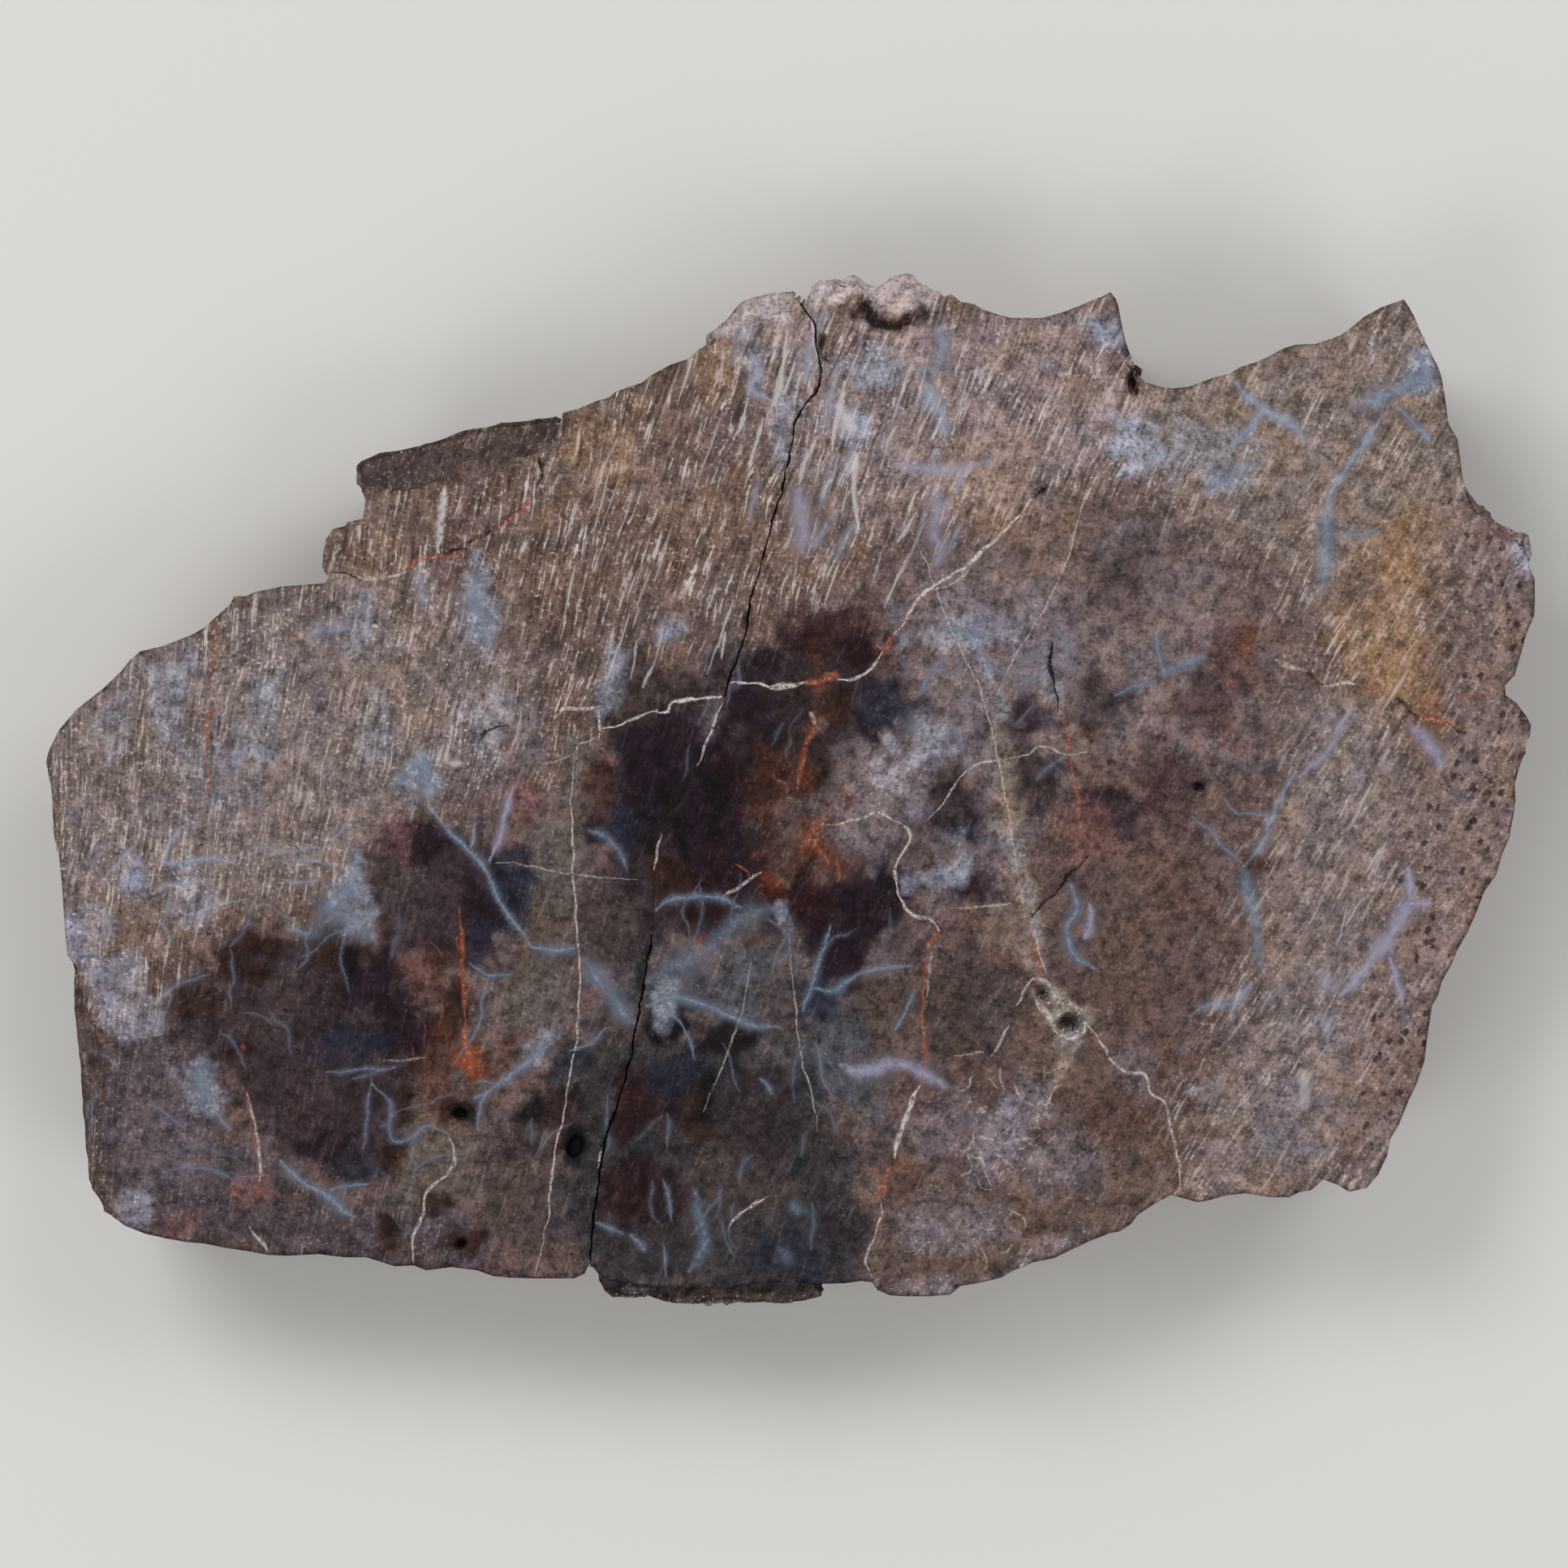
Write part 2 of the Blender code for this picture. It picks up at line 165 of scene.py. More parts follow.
def to_leg(places: np.ndarray, start: np.ndarray, leg: np.ndarray) -> tuple[np.ndarray, np.ndarray]:
    """How far along a straight leg each place is, from 0 to 1, and how far off it."""
    along = np.clip((places - start) @ leg / max(leg @ leg, TINY ** 2), 0.0, 1.0)
    return along, np.hypot(*(places - start - along[:, None] * leg).T)


@dataclass(frozen=True)
class Stroke:
    """A line on the face: its kind, half width in pixels, strength and places."""

    mark: Mark
    half_width: float
    strength: float
    points: tuple[Pixel, ...]


@dataclass(frozen=True)
class Patch:
    """An area with corners: its tint, strength, softness in pixels and corners."""

    tint: Tint
    strength: float
    softness: float
    points: tuple[Pixel, ...]

    def depth(self, pixels: np.ndarray) -> np.ndarray:
        """How far inside the outline each pixel is; below 0 outside.

        Args:
            pixels: Rows of right and down.

        Returns:
            One distance for each, in pixels.
        """
        corners = np.array(self.points, float)
        away = np.full(len(pixels), np.inf)
        inside = np.zeros(len(pixels), bool)
        for start, end in zip(corners, np.roll(corners, -1, axis=0)):
            leg = end - start
            np.minimum(away, to_leg(pixels, start, leg)[1], out=away)
            level = (start[1] > pixels[:, 1]) != (end[1] > pixels[:, 1])
            rise = leg[1] if abs(leg[1]) > TINY else TINY
            crossing = start[0] + (pixels[:, 1] - start[1]) * leg[0] / rise
            inside ^= level & (pixels[:, 0] < crossing)
        return np.where(inside, away, -away)


@dataclass(frozen=True)
class Blot:
    """An oval area: its tint, strength, middle, half sizes, and lean in degrees to the right."""

    tint: Tint
    strength: float
    middle: Pixel
    half: Pair
    lean: float = 0.0

    @property
    def softness(self) -> float:
        """The width of the soft edge in pixels."""
        return max(LEAST_SOFTNESS, SOFTNESS_SHARE * min(self.half))

    def depth(self, pixels: np.ndarray) -> np.ndarray:
        """How far inside the oval each pixel is; below 0 outside.

        Args:
            pixels: Rows of right and down.

        Returns:
            One distance for each, in pixels.
        """
        turn = math.radians(self.lean)
        right, down = pixels[:, 0] - self.middle[0], pixels[:, 1] - self.middle[1]
        across = (right * math.cos(turn) + down * math.sin(turn)) / self.half[0]
        along = (right * math.sin(turn) - down * math.cos(turn)) / self.half[1]
        return (1.0 - np.hypot(across, along)) * min(self.half)


def strokes(*rows: tuple[Any, ...]) -> tuple[Stroke, ...]:
    """Lines, from rows of mark, half width, strength and the places along them."""
    return tuple(Stroke(mark, width, strength, tuple(points)) for mark, width, strength, *points in rows)


def blots(tint: Tint, *rows: tuple[float, ...]) -> tuple[Blot, ...]:
    """Ovals of one tint, from rows of strength, x, y, half width, half height and maybe lean."""
    return tuple(Blot(tint, row[0], row[1:3], row[3:5], *row[5:]) for row in rows)


OPEN, SEAM, RUST = Mark.OPEN, Mark.SEAM, Mark.RUST
BLUE, LILAC, STREAK = Mark.BLUE, Mark.LILAC, Mark.STREAK

MAIN_CRACK = strokes(
    (OPEN, 1.5, 0.85, (985, 372), (990, 378), (997, 388), (1003, 400), (1005, 420), (1012, 455),
     (1010, 475), (1003, 485), (995, 497), (985, 507), (980, 520), (977, 540), (972, 565), (967, 590),
     (960, 615), (950, 648), (945, 665), (940, 685), (935, 705), (930, 725), (925, 740)),
    (OPEN, 2.0, 0.75, (922, 770), (915, 795), (908, 815), (900, 830), (896, 845), (893, 860)),
    (SEAM, 1.7, 0.8, (890, 865), (875, 905), (860, 943)),
    (OPEN, 1.8, 0.6, (850, 960), (838, 985), (825, 1000)),
    (SEAM, 1.6, 0.7, (815, 1030), (811, 1040), (806, 1070)),
    (OPEN, 1.4, 0.4, (806, 1075), (805, 1100), (803, 1150)),
    (OPEN, 1.6, 0.9, (803, 1150), (798, 1185), (790, 1230), (785, 1260), (780, 1290), (770, 1330),
     (758, 1370), (750, 1390), (745, 1409), (739, 1440), (737, 1458), (733, 1490), (730, 1520), (728, 1545),
     (727, 1557)),
    (SEAM, 1.9, 0.8, (741, 1418), (738, 1430), (735, 1445)),
    (SEAM, 1.6, 0.8, (736, 1460), (733, 1476)),
)

UPPER_CRACKS = strokes(
    (OPEN, 2.0, 0.9, (403, 704), (425, 707), (440, 712)),
    (SEAM, 2.0, 0.9, (440, 712), (455, 712), (480, 711), (498, 706)),
    (RUST, 3.4, 0.7, (498, 706), (509, 695), (525, 686), (548, 684)),
    (OPEN, 1.8, 0.9, (548, 682), (560, 677), (571, 675)),
    (RUST, 2.5, 0.5, (545, 688), (575, 680)),
    (OPEN, 3.0, 0.9, (577, 668), (581, 665), (596, 659), (606, 654)),
    (RUST, 3.0, 0.8, (606, 654), (615, 650), (630, 636), (646, 626), (659, 611)),
    (OPEN, 1.8, 0.6, (612, 651), (630, 634), (645, 624)),
    (OPEN, 2.6, 0.9, (662, 598), (668, 583), (667, 572), (665, 564)),
    (RUST, 2.5, 0.6, (266, 764), (264, 790), (263, 811), (257, 842)),
    (RUST, 2.9, 0.9, (266, 867), (260, 877), (254, 886), (254, 911), (256, 925)),
    (RUST, 2.0, 0.6, (251, 929), (258, 955), (254, 979), (251, 995)),
    (OPEN, 2.0, 0.9, (590, 912), (599, 902), (612, 896), (623, 893)),
    (OPEN, 3.0, 0.9, (1393, 452), (1397, 466), (1400, 486)),
    (OPEN, 3.6, 0.7, (1006, 408), (1012, 420), (1010, 436), (1019, 444)),
    (STREAK, 3.2, 0.8, (1000, 398), (1004, 415), (1006, 430), (1011, 446), (1012, 462)),
    (OPEN, 1.6, 0.8, (1036, 352), (1043, 354), (1048, 353)),
    (OPEN, 2.4, 0.8, (1156, 358), (1153, 368), (1157, 374)),
)

MIDDLE_SEAMS = strokes(
    (SEAM, 2.0, 0.9, (683, 885), (696, 873), (721, 873), (738, 870)),
    (SEAM, 1.7, 0.8, (737, 872), (738, 890), (737, 912)),
    (SEAM, 1.9, 0.9, (738, 897), (763, 893), (788, 882), (809, 876)),
    (SEAM, 2.8, 1.0, (806, 877), (820, 878), (828, 867), (843, 863), (864, 861), (888, 858)),
    (SEAM, 2.2, 1.0, (900, 842), (919, 841), (936, 843), (950, 848)),
    (SEAM, 3.6, 1.0, (950, 847), (970, 846), (990, 842)),
    (RUST, 3.1, 0.9, (990, 841), (1006, 840), (1020, 837)),
    (RUST, 5.5, 1.0, (1017, 833), (1026, 832), (1036, 831)),
    (SEAM, 2.0, 0.9, (1034, 838), (1049, 838), (1070, 826), (1087, 805)),
    (RUST, 3.4, 0.9, (1087, 803), (1096, 790), (1102, 780)),
    (SEAM, 2.3, 1.0, (1102, 781), (1115, 767), (1123, 748), (1143, 727), (1168, 712), (1190, 697),
     (1212, 678), (1242, 650), (1263, 625), (1274, 614)),
    (RUST, 3.2, 0.45, (1108, 778), (1121, 758), (1141, 732), (1166, 716)),
    (OPEN, 2.4, 0.9, (1272, 614), (1282, 606), (1288, 602)),
    (SEAM, 1.4, 0.7, (1140, 730), (1158, 724), (1181, 715), (1196, 701)),
    (SEAM, 1.4, 0.7, (733, 910), (715, 917), (707, 929)),
    (SEAM, 1.2, 0.5, (706, 929), (688, 936), (670, 942)),
    (RUST, 1.5, 0.5, (737, 915), (746, 929), (757, 948)),
    (SEAM, 1.5, 0.75, (707, 929), (706, 961), (704, 995), (706, 1037), (706, 1075), (708, 1104),
     (712, 1146), (713, 1188), (714, 1235), (710, 1285), (701, 1329), (695, 1371), (686, 1409), (680, 1447),
     (676, 1498), (669, 1527), (659, 1573)),
    (SEAM, 1.2, 0.5, (603, 1064), (637, 1063), (666, 1070), (706, 1077), (742, 1082), (782, 1083)),
    (SEAM, 1.2, 0.6, (1116, 638), (1137, 684), (1152, 722), (1155, 732), (1176, 784), (1197, 826),
     (1211, 860), (1224, 910), (1239, 978), (1251, 1058), (1262, 1121)),
    (SEAM, 1.2, 0.55, (1339, 604), (1310, 700), (1281, 759), (1251, 809), (1225, 862)),
    (SEAM, 1.2, 0.5, (972, 1157), (981, 1245), (987, 1300), (1002, 1355), (1008, 1397)),
    (SEAM, 1.2, 0.5, (926, 1182), (916, 1241), (903, 1279), (884, 1329), (867, 1371)),
    (SEAM, 1.7, 0.7, (1144, 1009), (1167, 982), (1184, 957), (1205, 942), (1226, 936), (1264, 931),
     (1277, 921), (1293, 921), (1310, 929), (1340, 926)),
    (SEAM, 3.1, 0.6, (893, 1104), (905, 1095), (919, 1087), (936, 1075)),
    (RUST, 3.1, 0.9, (986, 1049), (996, 1032), (1003, 1020), (1015, 1015)),
    (SEAM, 1.9, 0.8, (1015, 1015), (1032, 1016), (1058, 1009), (1083, 1001), (1104, 1011)),
    (RUST, 1.9, 0.6, (1025, 1017), (1058, 1010)),
    (SEAM, 2.0, 0.8, (1104, 1011), (1121, 1024), (1117, 1045), (1102, 1070), (1106, 1100)),
    (SEAM, 2.3, 0.9, (1106, 1100), (1121, 1125), (1146, 1133), (1157, 1146)),
    (RUST, 2.0, 0.6, (1032, 997), (1044, 990), (1054, 986)),
    (RUST, 3.0, 0.7, (1004, 884), (999, 904), (991, 922), (988, 940), (986, 952), (982, 974)),
    (SEAM, 3.9, 0.5, (1000, 878), (1004, 892)),
)

LOWER_SEAMS = strokes(
    (RUST, 2.9, 0.9, (1155, 1146), (1148, 1160), (1144, 1171)),
    (RUST, 1.9, 0.8, (1144, 1171), (1140, 1205), (1136, 1239), (1138, 1272), (1140, 1302), (1136, 1336)),
    (SEAM, 1.6, 0.5, (1148, 1172), (1144, 1205), (1141, 1238)),
    (SEAM, 3.3, 0.9, (1132, 1338), (1126, 1350), (1111, 1392), (1101, 1426)),
    (RUST, 4.4, 0.65, (1092, 1439), (1089, 1454), (1088, 1470)),
    (RUST, 1.7, 0.5, (1060, 1450), (1068, 1440), (1082, 1443), (1082, 1470), (1070, 1481), (1058, 1470),
     (1058, 1455)),
    (RUST, 2.4, 0.4, (1098, 1440), (1115, 1434), (1137, 1430)),
    (SEAM, 1.7, 0.7, (1086, 1480), (1086, 1498), (1076, 1527), (1067, 1552), (1074, 1573)),
    (OPEN, 2.4, 0.9, (1296, 793), (1295, 815), (1298, 839), (1302, 860), (1304, 877)),
    (RUST, 1.9, 0.8, (1304, 880), (1317, 910), (1321, 948), (1327, 974), (1331, 1011), (1340, 1037)),
    (OPEN, 2.0, 0.8, (1340, 1056), (1332, 1066), (1319, 1076), (1305, 1095), (1289, 1110), (1272, 1129)),
    (RUST, 2.5, 0.8, (1268, 1138), (1273, 1167), (1281, 1192), (1279, 1213), (1285, 1230)),
    (SEAM, 1.4, 0.6, (1274, 1140), (1280, 1170), (1288, 1196)),
    (SEAM, 3.9, 0.6, (1272, 1206), (1284, 1207), (1294, 1214)),
    (SEAM, 4.3, 0.7, (1276, 1232), (1284, 1244), (1294, 1256), (1300, 1270)),
    (SEAM, 2.3, 0.9, (1302, 1274), (1318, 1280), (1334, 1272), (1338, 1262)),
    (SEAM, 3.1, 0.5, (1298, 1226), (1312, 1234), (1328, 1242)),
    (SEAM, 2.0, 0.8, (1336, 1260), (1352, 1277), (1369, 1306), (1390, 1323), (1411, 1325), (1420, 1350),
     (1436, 1360), (1444, 1394), (1451, 1429), (1455, 1459), (1446, 1471)),
    (SEAM, 1.7, 0.7, (1271, 1207), (1262, 1222), (1252, 1239)),
    (SEAM, 2.3, 0.6, (1242, 1266), (1232, 1284), (1221, 1302)),
    (SEAM, 1.7, 0.5, (1175, 1300), (1195, 1299), (1212, 1296)),
    (SEAM, 2.0, 0.5, (1179, 1119), (1210, 1117), (1246, 1113)),
    (SEAM, 2.2, 0.8, (943, 1475), (928, 1484), (912, 1496), (896, 1515)),
    (SEAM, 2.5, 0.8, (552, 1399), (560, 1415), (560, 1430), (550, 1448), (537, 1458), (523, 1473),
     (521, 1497), (510, 1520), (508, 1559)),
    (SEAM, 2.3, 0.6, (1270, 1540), (1264, 1550), (1255, 1562)),
    (SEAM, 2.5, 0.7, (307, 1512), (318, 1526), (330, 1540)),
    (RUST, 2.6, 0.35, (299, 1341), (307, 1368), (315, 1403), (319, 1438), (315, 1462)),
    (SEAM, 2.2, 0.65, (302, 1345), (310, 1370), (318, 1405), (321, 1440), (318, 1462)),
    (SEAM, 2.0, 0.3, (472, 1308), (498, 1305), (523, 1304)),
    (RUST, 4.2, 0.6, (286, 1467), (291, 1471)),
    (RUST, 4.2, 0.6, (317, 1462), (321, 1468)),
    (RUST, 2.0, 0.8, (565, 1121), (569, 1150), (569, 1176), (571, 1230), (573, 1262)),
    (RUST, 3.7, 1.0, (573, 1262), (574, 1281), (578, 1306), (580, 1323)),
    (RUST, 7.6, 0.7, (578, 1306), (582, 1318)),
    (STREAK, 7.2, 0.5, (1605, 1318), (1608, 1340), (1605, 1365)),
)

RIGHT_SEAMS = strokes(
    (SEAM, 3.9, 0.6, (1571, 814), (1588, 822), (1605, 826)),
    (RUST, 2.5, 0.5, (1575, 818), (1600, 830)),
    (OPEN, 2.6, 0.9, (1612, 830), (1620, 835), (1630, 845)),
    (SEAM, 2.3, 0.9, (1632, 845), (1642, 844), (1655, 841), (1668, 842)),
    (RUST, 3.4, 0.5, (1675, 843), (1681, 847), (1695, 852), (1710, 858)),
    (OPEN, 2.6, 0.8, (1722, 860), (1727, 864), (1736, 872), (1744, 881)),
    (RUST, 3.4, 0.8, (1745, 876), (1760, 885), (1780, 890), (1800, 897)),
    (OPEN, 2.0, 0.6, (1788, 893), (1795, 900), (1806, 903)),
    (RUST, 2.5, 0.5, (1795, 858), (1820, 856), (1838, 850)),
    (OPEN, 4.0, 0.5, (1364, 938), (1374, 938)),
    (OPEN, 2.0, 0.6, (1806, 600), (1812, 622), (1818, 632)),
    (OPEN, 2.6, 0.7, (1822, 634), (1832, 630)),
    (RUST, 3.4, 0.8, (1846, 648), (1856, 655), (1868, 660)),
)

BLUE_VEINS = strokes(
    (BLUE, 3.2, 1.0, (527, 995), (553, 1024), (578, 1049), (595, 1066), (611, 1100), (628, 1129),
     (645, 1150), (656, 1167)),
    (BLUE, 5.8, 0.9, (481, 969), (502, 952), (519, 936), (527, 969), (534, 990)),
    (BLUE, 8.6, 0.9, (439, 1070), (422, 1104), (405, 1121), (435, 1133), (451, 1159)),
    (BLUE, 5.0, 0.8, (405, 1125), (384, 1150), (355, 1142)),
    (BLUE, 3.6, 0.9, (656, 1167), (682, 1170), (708, 1168)),
    (BLUE, 7.2, 0.95, (721, 1184), (742, 1213), (763, 1243), (784, 1262)),
    (BLUE, 4.3, 0.9, (797, 1239), (822, 1230), (860, 1235), (898, 1251), (923, 1262), (960, 1266)),
    (BLUE, 1.9, 0.7, (824, 1243), (843, 1268), (856, 1302)),
    (BLUE, 8.6, 0.55, (797, 1209), (826, 1192), (864, 1175), (889, 1154), (906, 1137), (931, 1125),
     (960, 1121)),
    (BLUE, 3.6, 0.9, (809, 1121), (830, 1108), (856, 1104), (889, 1106), (910, 1117)),
    (BLUE, 4.3, 0.6, (725, 1024), (746, 1032), (763, 1049), (771, 1070)),
    (BLUE, 2.6, 0.7, (578, 1188), (603, 1201), (628, 1201)),
    (BLUE, 2.2, 0.7, (603, 1201), (595, 1230), (590, 1264), (574, 1289), (561, 1310)),
    (BLUE, 2.6, 0.7, (746, 1268), (725, 1287), (704, 1293)),
    (BLUE, 3.6, 0.85, (679, 1285), (658, 1302), (628, 1327), (603, 1344), (586, 1352)),
    (BLUE, 3.0, 0.8, (588, 1391), (595, 1353), (623, 1329), (650, 1306)),
    (BLUE, 5.0, 0.7, (1167, 772), (1188, 778), (1218, 786)),
    (BLUE, 3.2, 0.8, (1131, 858), (1146, 830), (1167, 807)),
    (BLUE, 7.9, 0.5, (1120, 896), (1130, 900)),
    (BLUE, 2.6, 0.9, (998, 1220), (1010, 1182), (1023, 1144)),
    (BLUE, 3.6, 0.9, (1002, 1216), (1027, 1222), (1048, 1207), (1074, 1195), (1120, 1190)),
    (BLUE, 3.2, 0.8, (998, 1220), (989, 1245)),
    (BLUE, 2.6, 0.8, (1128, 1220), (1116, 1245), (1103, 1270)),
    (BLUE, 4.3, 0.9, (1319, 1091), (1327, 1117), (1315, 1146), (1323, 1176), (1348, 1192)),
    (BLUE, 5.8, 0.95, (1432, 830), (1458, 818), (1485, 809)),
    (BLUE, 3.6, 0.8, (1432, 826), (1428, 801), (1424, 780)),
    (BLUE, 3.6, 0.7, (1422, 834), (1407, 843), (1374, 856)),
    (BLUE, 3.2, 0.8, (1597, 952), (1571, 995), (1555, 1041), (1533, 1066)),
    (BLUE, 5.4, 0.85, (1533, 1066), (1536, 1091), (1546, 1133), (1550, 1171), (1552, 1192)),
    (BLUE, 2.3, 0.7, (1533, 1066), (1512, 1049), (1491, 1024), (1470, 1007)),
    (BLUE, 1.6, 0.7, (1508, 982), (1525, 1001), (1559, 1003)),
    (BLUE, 4.3, 0.6, (1542, 1211), (1521, 1235), (1487, 1239), (1466, 1251)),
    (BLUE, 6.5, 1.0, (1670, 500), (1698, 490), (1730, 476), (1755, 464), (1767, 476)),
    (BLUE, 5.8, 0.8, (1762, 468), (1755, 452), (1748, 436)),
    (BLUE, 3.6, 0.95, (1726, 505), (1742, 523), (1761, 542)),
    (BLUE, 4.0, 0.95, (1698, 517), (1683, 542), (1670, 561), (1658, 579), (1647, 598), (1640, 606)),
    (BLUE, 6.8, 0.9, (1638, 612), (1635, 642), (1635, 673), (1631, 713), (1624, 732)),
    (BLUE, 2.2, 0.8, (1649, 662), (1677, 657), (1698, 651)),
    (BLUE, 4.7, 0.9, (1521, 470), (1540, 492), (1555, 505), (1577, 514), (1602, 533), (1611, 545)),
    (BLUE, 3.6, 0.7, (1555, 508), (1540, 526), (1524, 542), (1518, 551)),
    (BLUE, 7.9, 0.5, (1502, 598), (1520, 584), (1540, 572)),
    (BLUE, 2.9, 0.5, (1500, 600), (1492, 606), (1484, 612)),
    (BLUE, 5.8, 0.7, (1153, 406), (1162, 425), (1156, 440), (1131, 460)),
    (BLUE, 5.8, 0.85, (1140, 468), (1146, 487), (1159, 512), (1165, 537)),
    (BLUE, 4.0, 0.7, (924, 431), (934, 456), (924, 478), (949, 493)),
    (BLUE, 9.4, 0.6, (587, 711), (581, 745), (596, 760), (602, 792)),
    (BLUE, 5.0, 0.5, (515, 698), (518, 720), (521, 745)),
    (BLUE, 7.2, 0.5, (384, 779), (408, 776), (431, 770)),
    (BLUE, 6.5, 0.8, (246, 1308), (248, 1340), (250, 1372)),
    (BLUE, 3.2, 0.8, (264, 1368), (274, 1380), (284, 1391)),
    (BLUE, 4.7, 0.9, (346, 1430), (373, 1458), (400, 1470), (420, 1489), (436, 1500)),
    (BLUE, 2.6, 0.7, (408, 1465), (430, 1461), (455, 1458)),
    (BLUE, 2.7, 0.7, (459, 1337), (479, 1356), (482, 1368), (482, 1403), (506, 1403), (521, 1388),
     (553, 1395)),
    (BLUE, 7.9, 0.95, (978, 1488), (982, 1492)),
    (BLUE, 5.8, 0.7, (958, 1534), (966, 1545), (974, 1556)),
    (BLUE, 5.0, 0.8, (856, 1465), (862, 1502), (868, 1534), (849, 1568)),
    (BLUE, 1.9, 0.7, (818, 1453), (824, 1478), (827, 1502)),
    (BLUE, 2.2, 0.7, (818, 1537), (819, 1555), (821, 1571)),
    (BLUE, 2.9, 0.7, (734, 1506), (748, 1511), (762, 1518)),
    (BLUE, 4.3, 0.8, (778, 1521), (786, 1530), (793, 1540)),
    (BLUE, 2.9, 0.7, (937, 1328), (945, 1337), (952, 1347)),
)

LILAC_VEINS = strokes(
    (LILAC, 3.0, 0.8, (603, 1062), (614, 1037), (622, 1003), (632, 969)),
    (LILAC, 1.8, 0.6, (580, 1045), (586, 1016)),
    (LILAC, 5.2, 0.9, (1036, 1312), (1061, 1321), (1095, 1310), (1120, 1312), (1137, 1323), (1166, 1338)),
    (LILAC, 3.4, 0.8, (1342, 1115), (1344, 1138), (1336, 1155)),
    (LILAC, 4.5, 0.6, (1103, 571), (1156, 580), (1187, 577), (1218, 568)),
    (LILAC, 6.0, 0.6, (1153, 596), (1156, 627), (1150, 658), (1162, 674), (1150, 702)),
    (LILAC, 7.5, 0.7, (982, 600), (988, 640), (990, 680)),
    (LILAC, 3.8, 0.9, (1735, 1070), (1738, 1090), (1737, 1104)),
    (LILAC, 6.0, 1.0, (1737, 1104), (1724, 1133), (1707, 1163), (1686, 1188)),
    (LILAC, 4.5, 0.9, (1686, 1188), (1669, 1209), (1652, 1226)),
    (LILAC, 3.0, 0.8, (1737, 1112), (1748, 1114), (1758, 1115)),
    (LILAC, 3.0, 0.8, (1714, 1184), (1722, 1213), (1730, 1235)),
    (LILAC, 6.0, 0.8, (1737, 894), (1754, 910), (1770, 927), (1775, 944)),
    (LILAC, 9.0, 0.5, (1630, 1206), (1648, 1218)),
    (LILAC, 3.4, 0.6, (1605, 952), (1635, 927), (1651, 894), (1664, 877)),
    (STREAK, 5.2, 0.9, (547, 598), (545, 630), (542, 655), (540, 680)),
    (STREAK, 4.0, 0.8, (1055, 559), (1052, 596), (1054, 625), (1058, 652)),
    (STREAK, 2.8, 0.7, (996, 555), (990, 575), (985, 596)),
    (STREAK, 3.6, 0.8, (970, 408), (966, 440), (962, 470), (955, 500)),
    (STREAK, 1.9, 0.8, (979, 448), (972, 468), (967, 484)),
    (STREAK, 2.6, 0.8, (921, 492), (916, 515), (908, 535)),
    (STREAK, 2.4, 0.8, (940, 518), (932, 545), (922, 572)),
    (STREAK, 3.2, 0.8, (1040, 470), (1036, 500), (1028, 530), (1025, 555)),
    (STREAK, 2.4, 0.7, (1128, 632), (1118, 650), (1106, 668)),
    (STREAK, 5.6, 0.9, (1040, 508), (1046, 522), (1052, 530)),
    (STREAK, 4.8, 0.7, (553, 941), (568, 940)),
    (STREAK, 3.2, 1.0, (461, 771), (465, 772)),
    (STREAK, 3.2, 1.0, (625, 537), (630, 537)),
)

# Mostly open holes, which get painted shade.
HOLES = strokes(
    (OPEN, 9.0, 0.5, (1312, 1256), (1322, 1260)),
    (OPEN, 5.0, 0.5, (1282, 1221), (1288, 1226)),
    (OPEN, 8.0, 0.9, (1475, 968), (1480, 970)),
    (OPEN, 9.0, 0.95, (566, 1366), (566, 1378)),
    (OPEN, 5.0, 0.8, (498, 1352), (517, 1352)),
    (OPEN, 9.0, 0.6, (432, 1182), (437, 1184)),
    (OPEN, 6.0, 0.7, (481, 1500), (479, 1524)),
    (OPEN, 9.0, 0.8, (566, 1530), (571, 1534)),
    (OPEN, 4.0, 0.7, (484, 1425), (488, 1429)),
    (RUST, 5.1, 0.9, (297, 1288), (301, 1292)),
    (OPEN, 12.0, 0.95, (707, 1403), (711, 1421)),
    (OPEN, 6.0, 0.9, (869, 1341), (874, 1345)),
    (OPEN, 6.0, 0.9, (741, 1407), (746, 1411)),
    (OPEN, 5.0, 0.9, (688, 1472), (692, 1474)),
    (OPEN, 5.0, 0.9, (648, 1367), (652, 1369)),
    (OPEN, 5.0, 0.8, (1872, 668), (1878, 674)),
    (OPEN, 3.6, 0.9, (1784, 619), (1788, 615)),
    (OPEN, 3.0, 0.9, (240, 1226), (246, 1216)),
    (OPEN, 4.0, 0.8, (254, 1149), (258, 1151)),
)


@dataclass(frozen=True)
class ThreadField:
    """A part of the face strewn with fine healed cracks.

    The box is left, top, right and bottom in pixels. The heading is in degrees from straight up
    towards the right, spread is how far threads stray from it, and bend is how much they curve.
    """

    mark: Mark
    box: tuple[float, float, float, float]
    count: int
    length: Pair
    half_width: Pair
    strength: Pair
    heading: float
    spread: float
    bend: float = 0.25

    def threads(self, chance: random.Random) -> list[Stroke]:
        """Draws the threads.

        Args:
            chance: The seeded source of the places and sizes.

        Returns:
            One stroke for each thread.
        """
        drawn = []
        for _ in range(self.count):
            x = chance.uniform(self.box[0], self.box[2])
            y = chance.uniform(self.box[1], self.box[3])
            turn = math.radians(self.heading + chance.uniform(-self.spread, self.spread))
            step = chance.uniform(*self.length) / THREAD_LEGS
            points = [(x, y)]
            for _ in range(THREAD_LEGS):
                turn += chance.gauss(0.0, self.bend)
                x += step * math.sin(turn)
                y -= step * math.cos(turn)
                points.append((x, y))
            width, strength = chance.uniform(*self.half_width), chance.uniform(*self.strength)
            drawn.append(Stroke(self.mark, width, strength, tuple(points)))
        return drawn


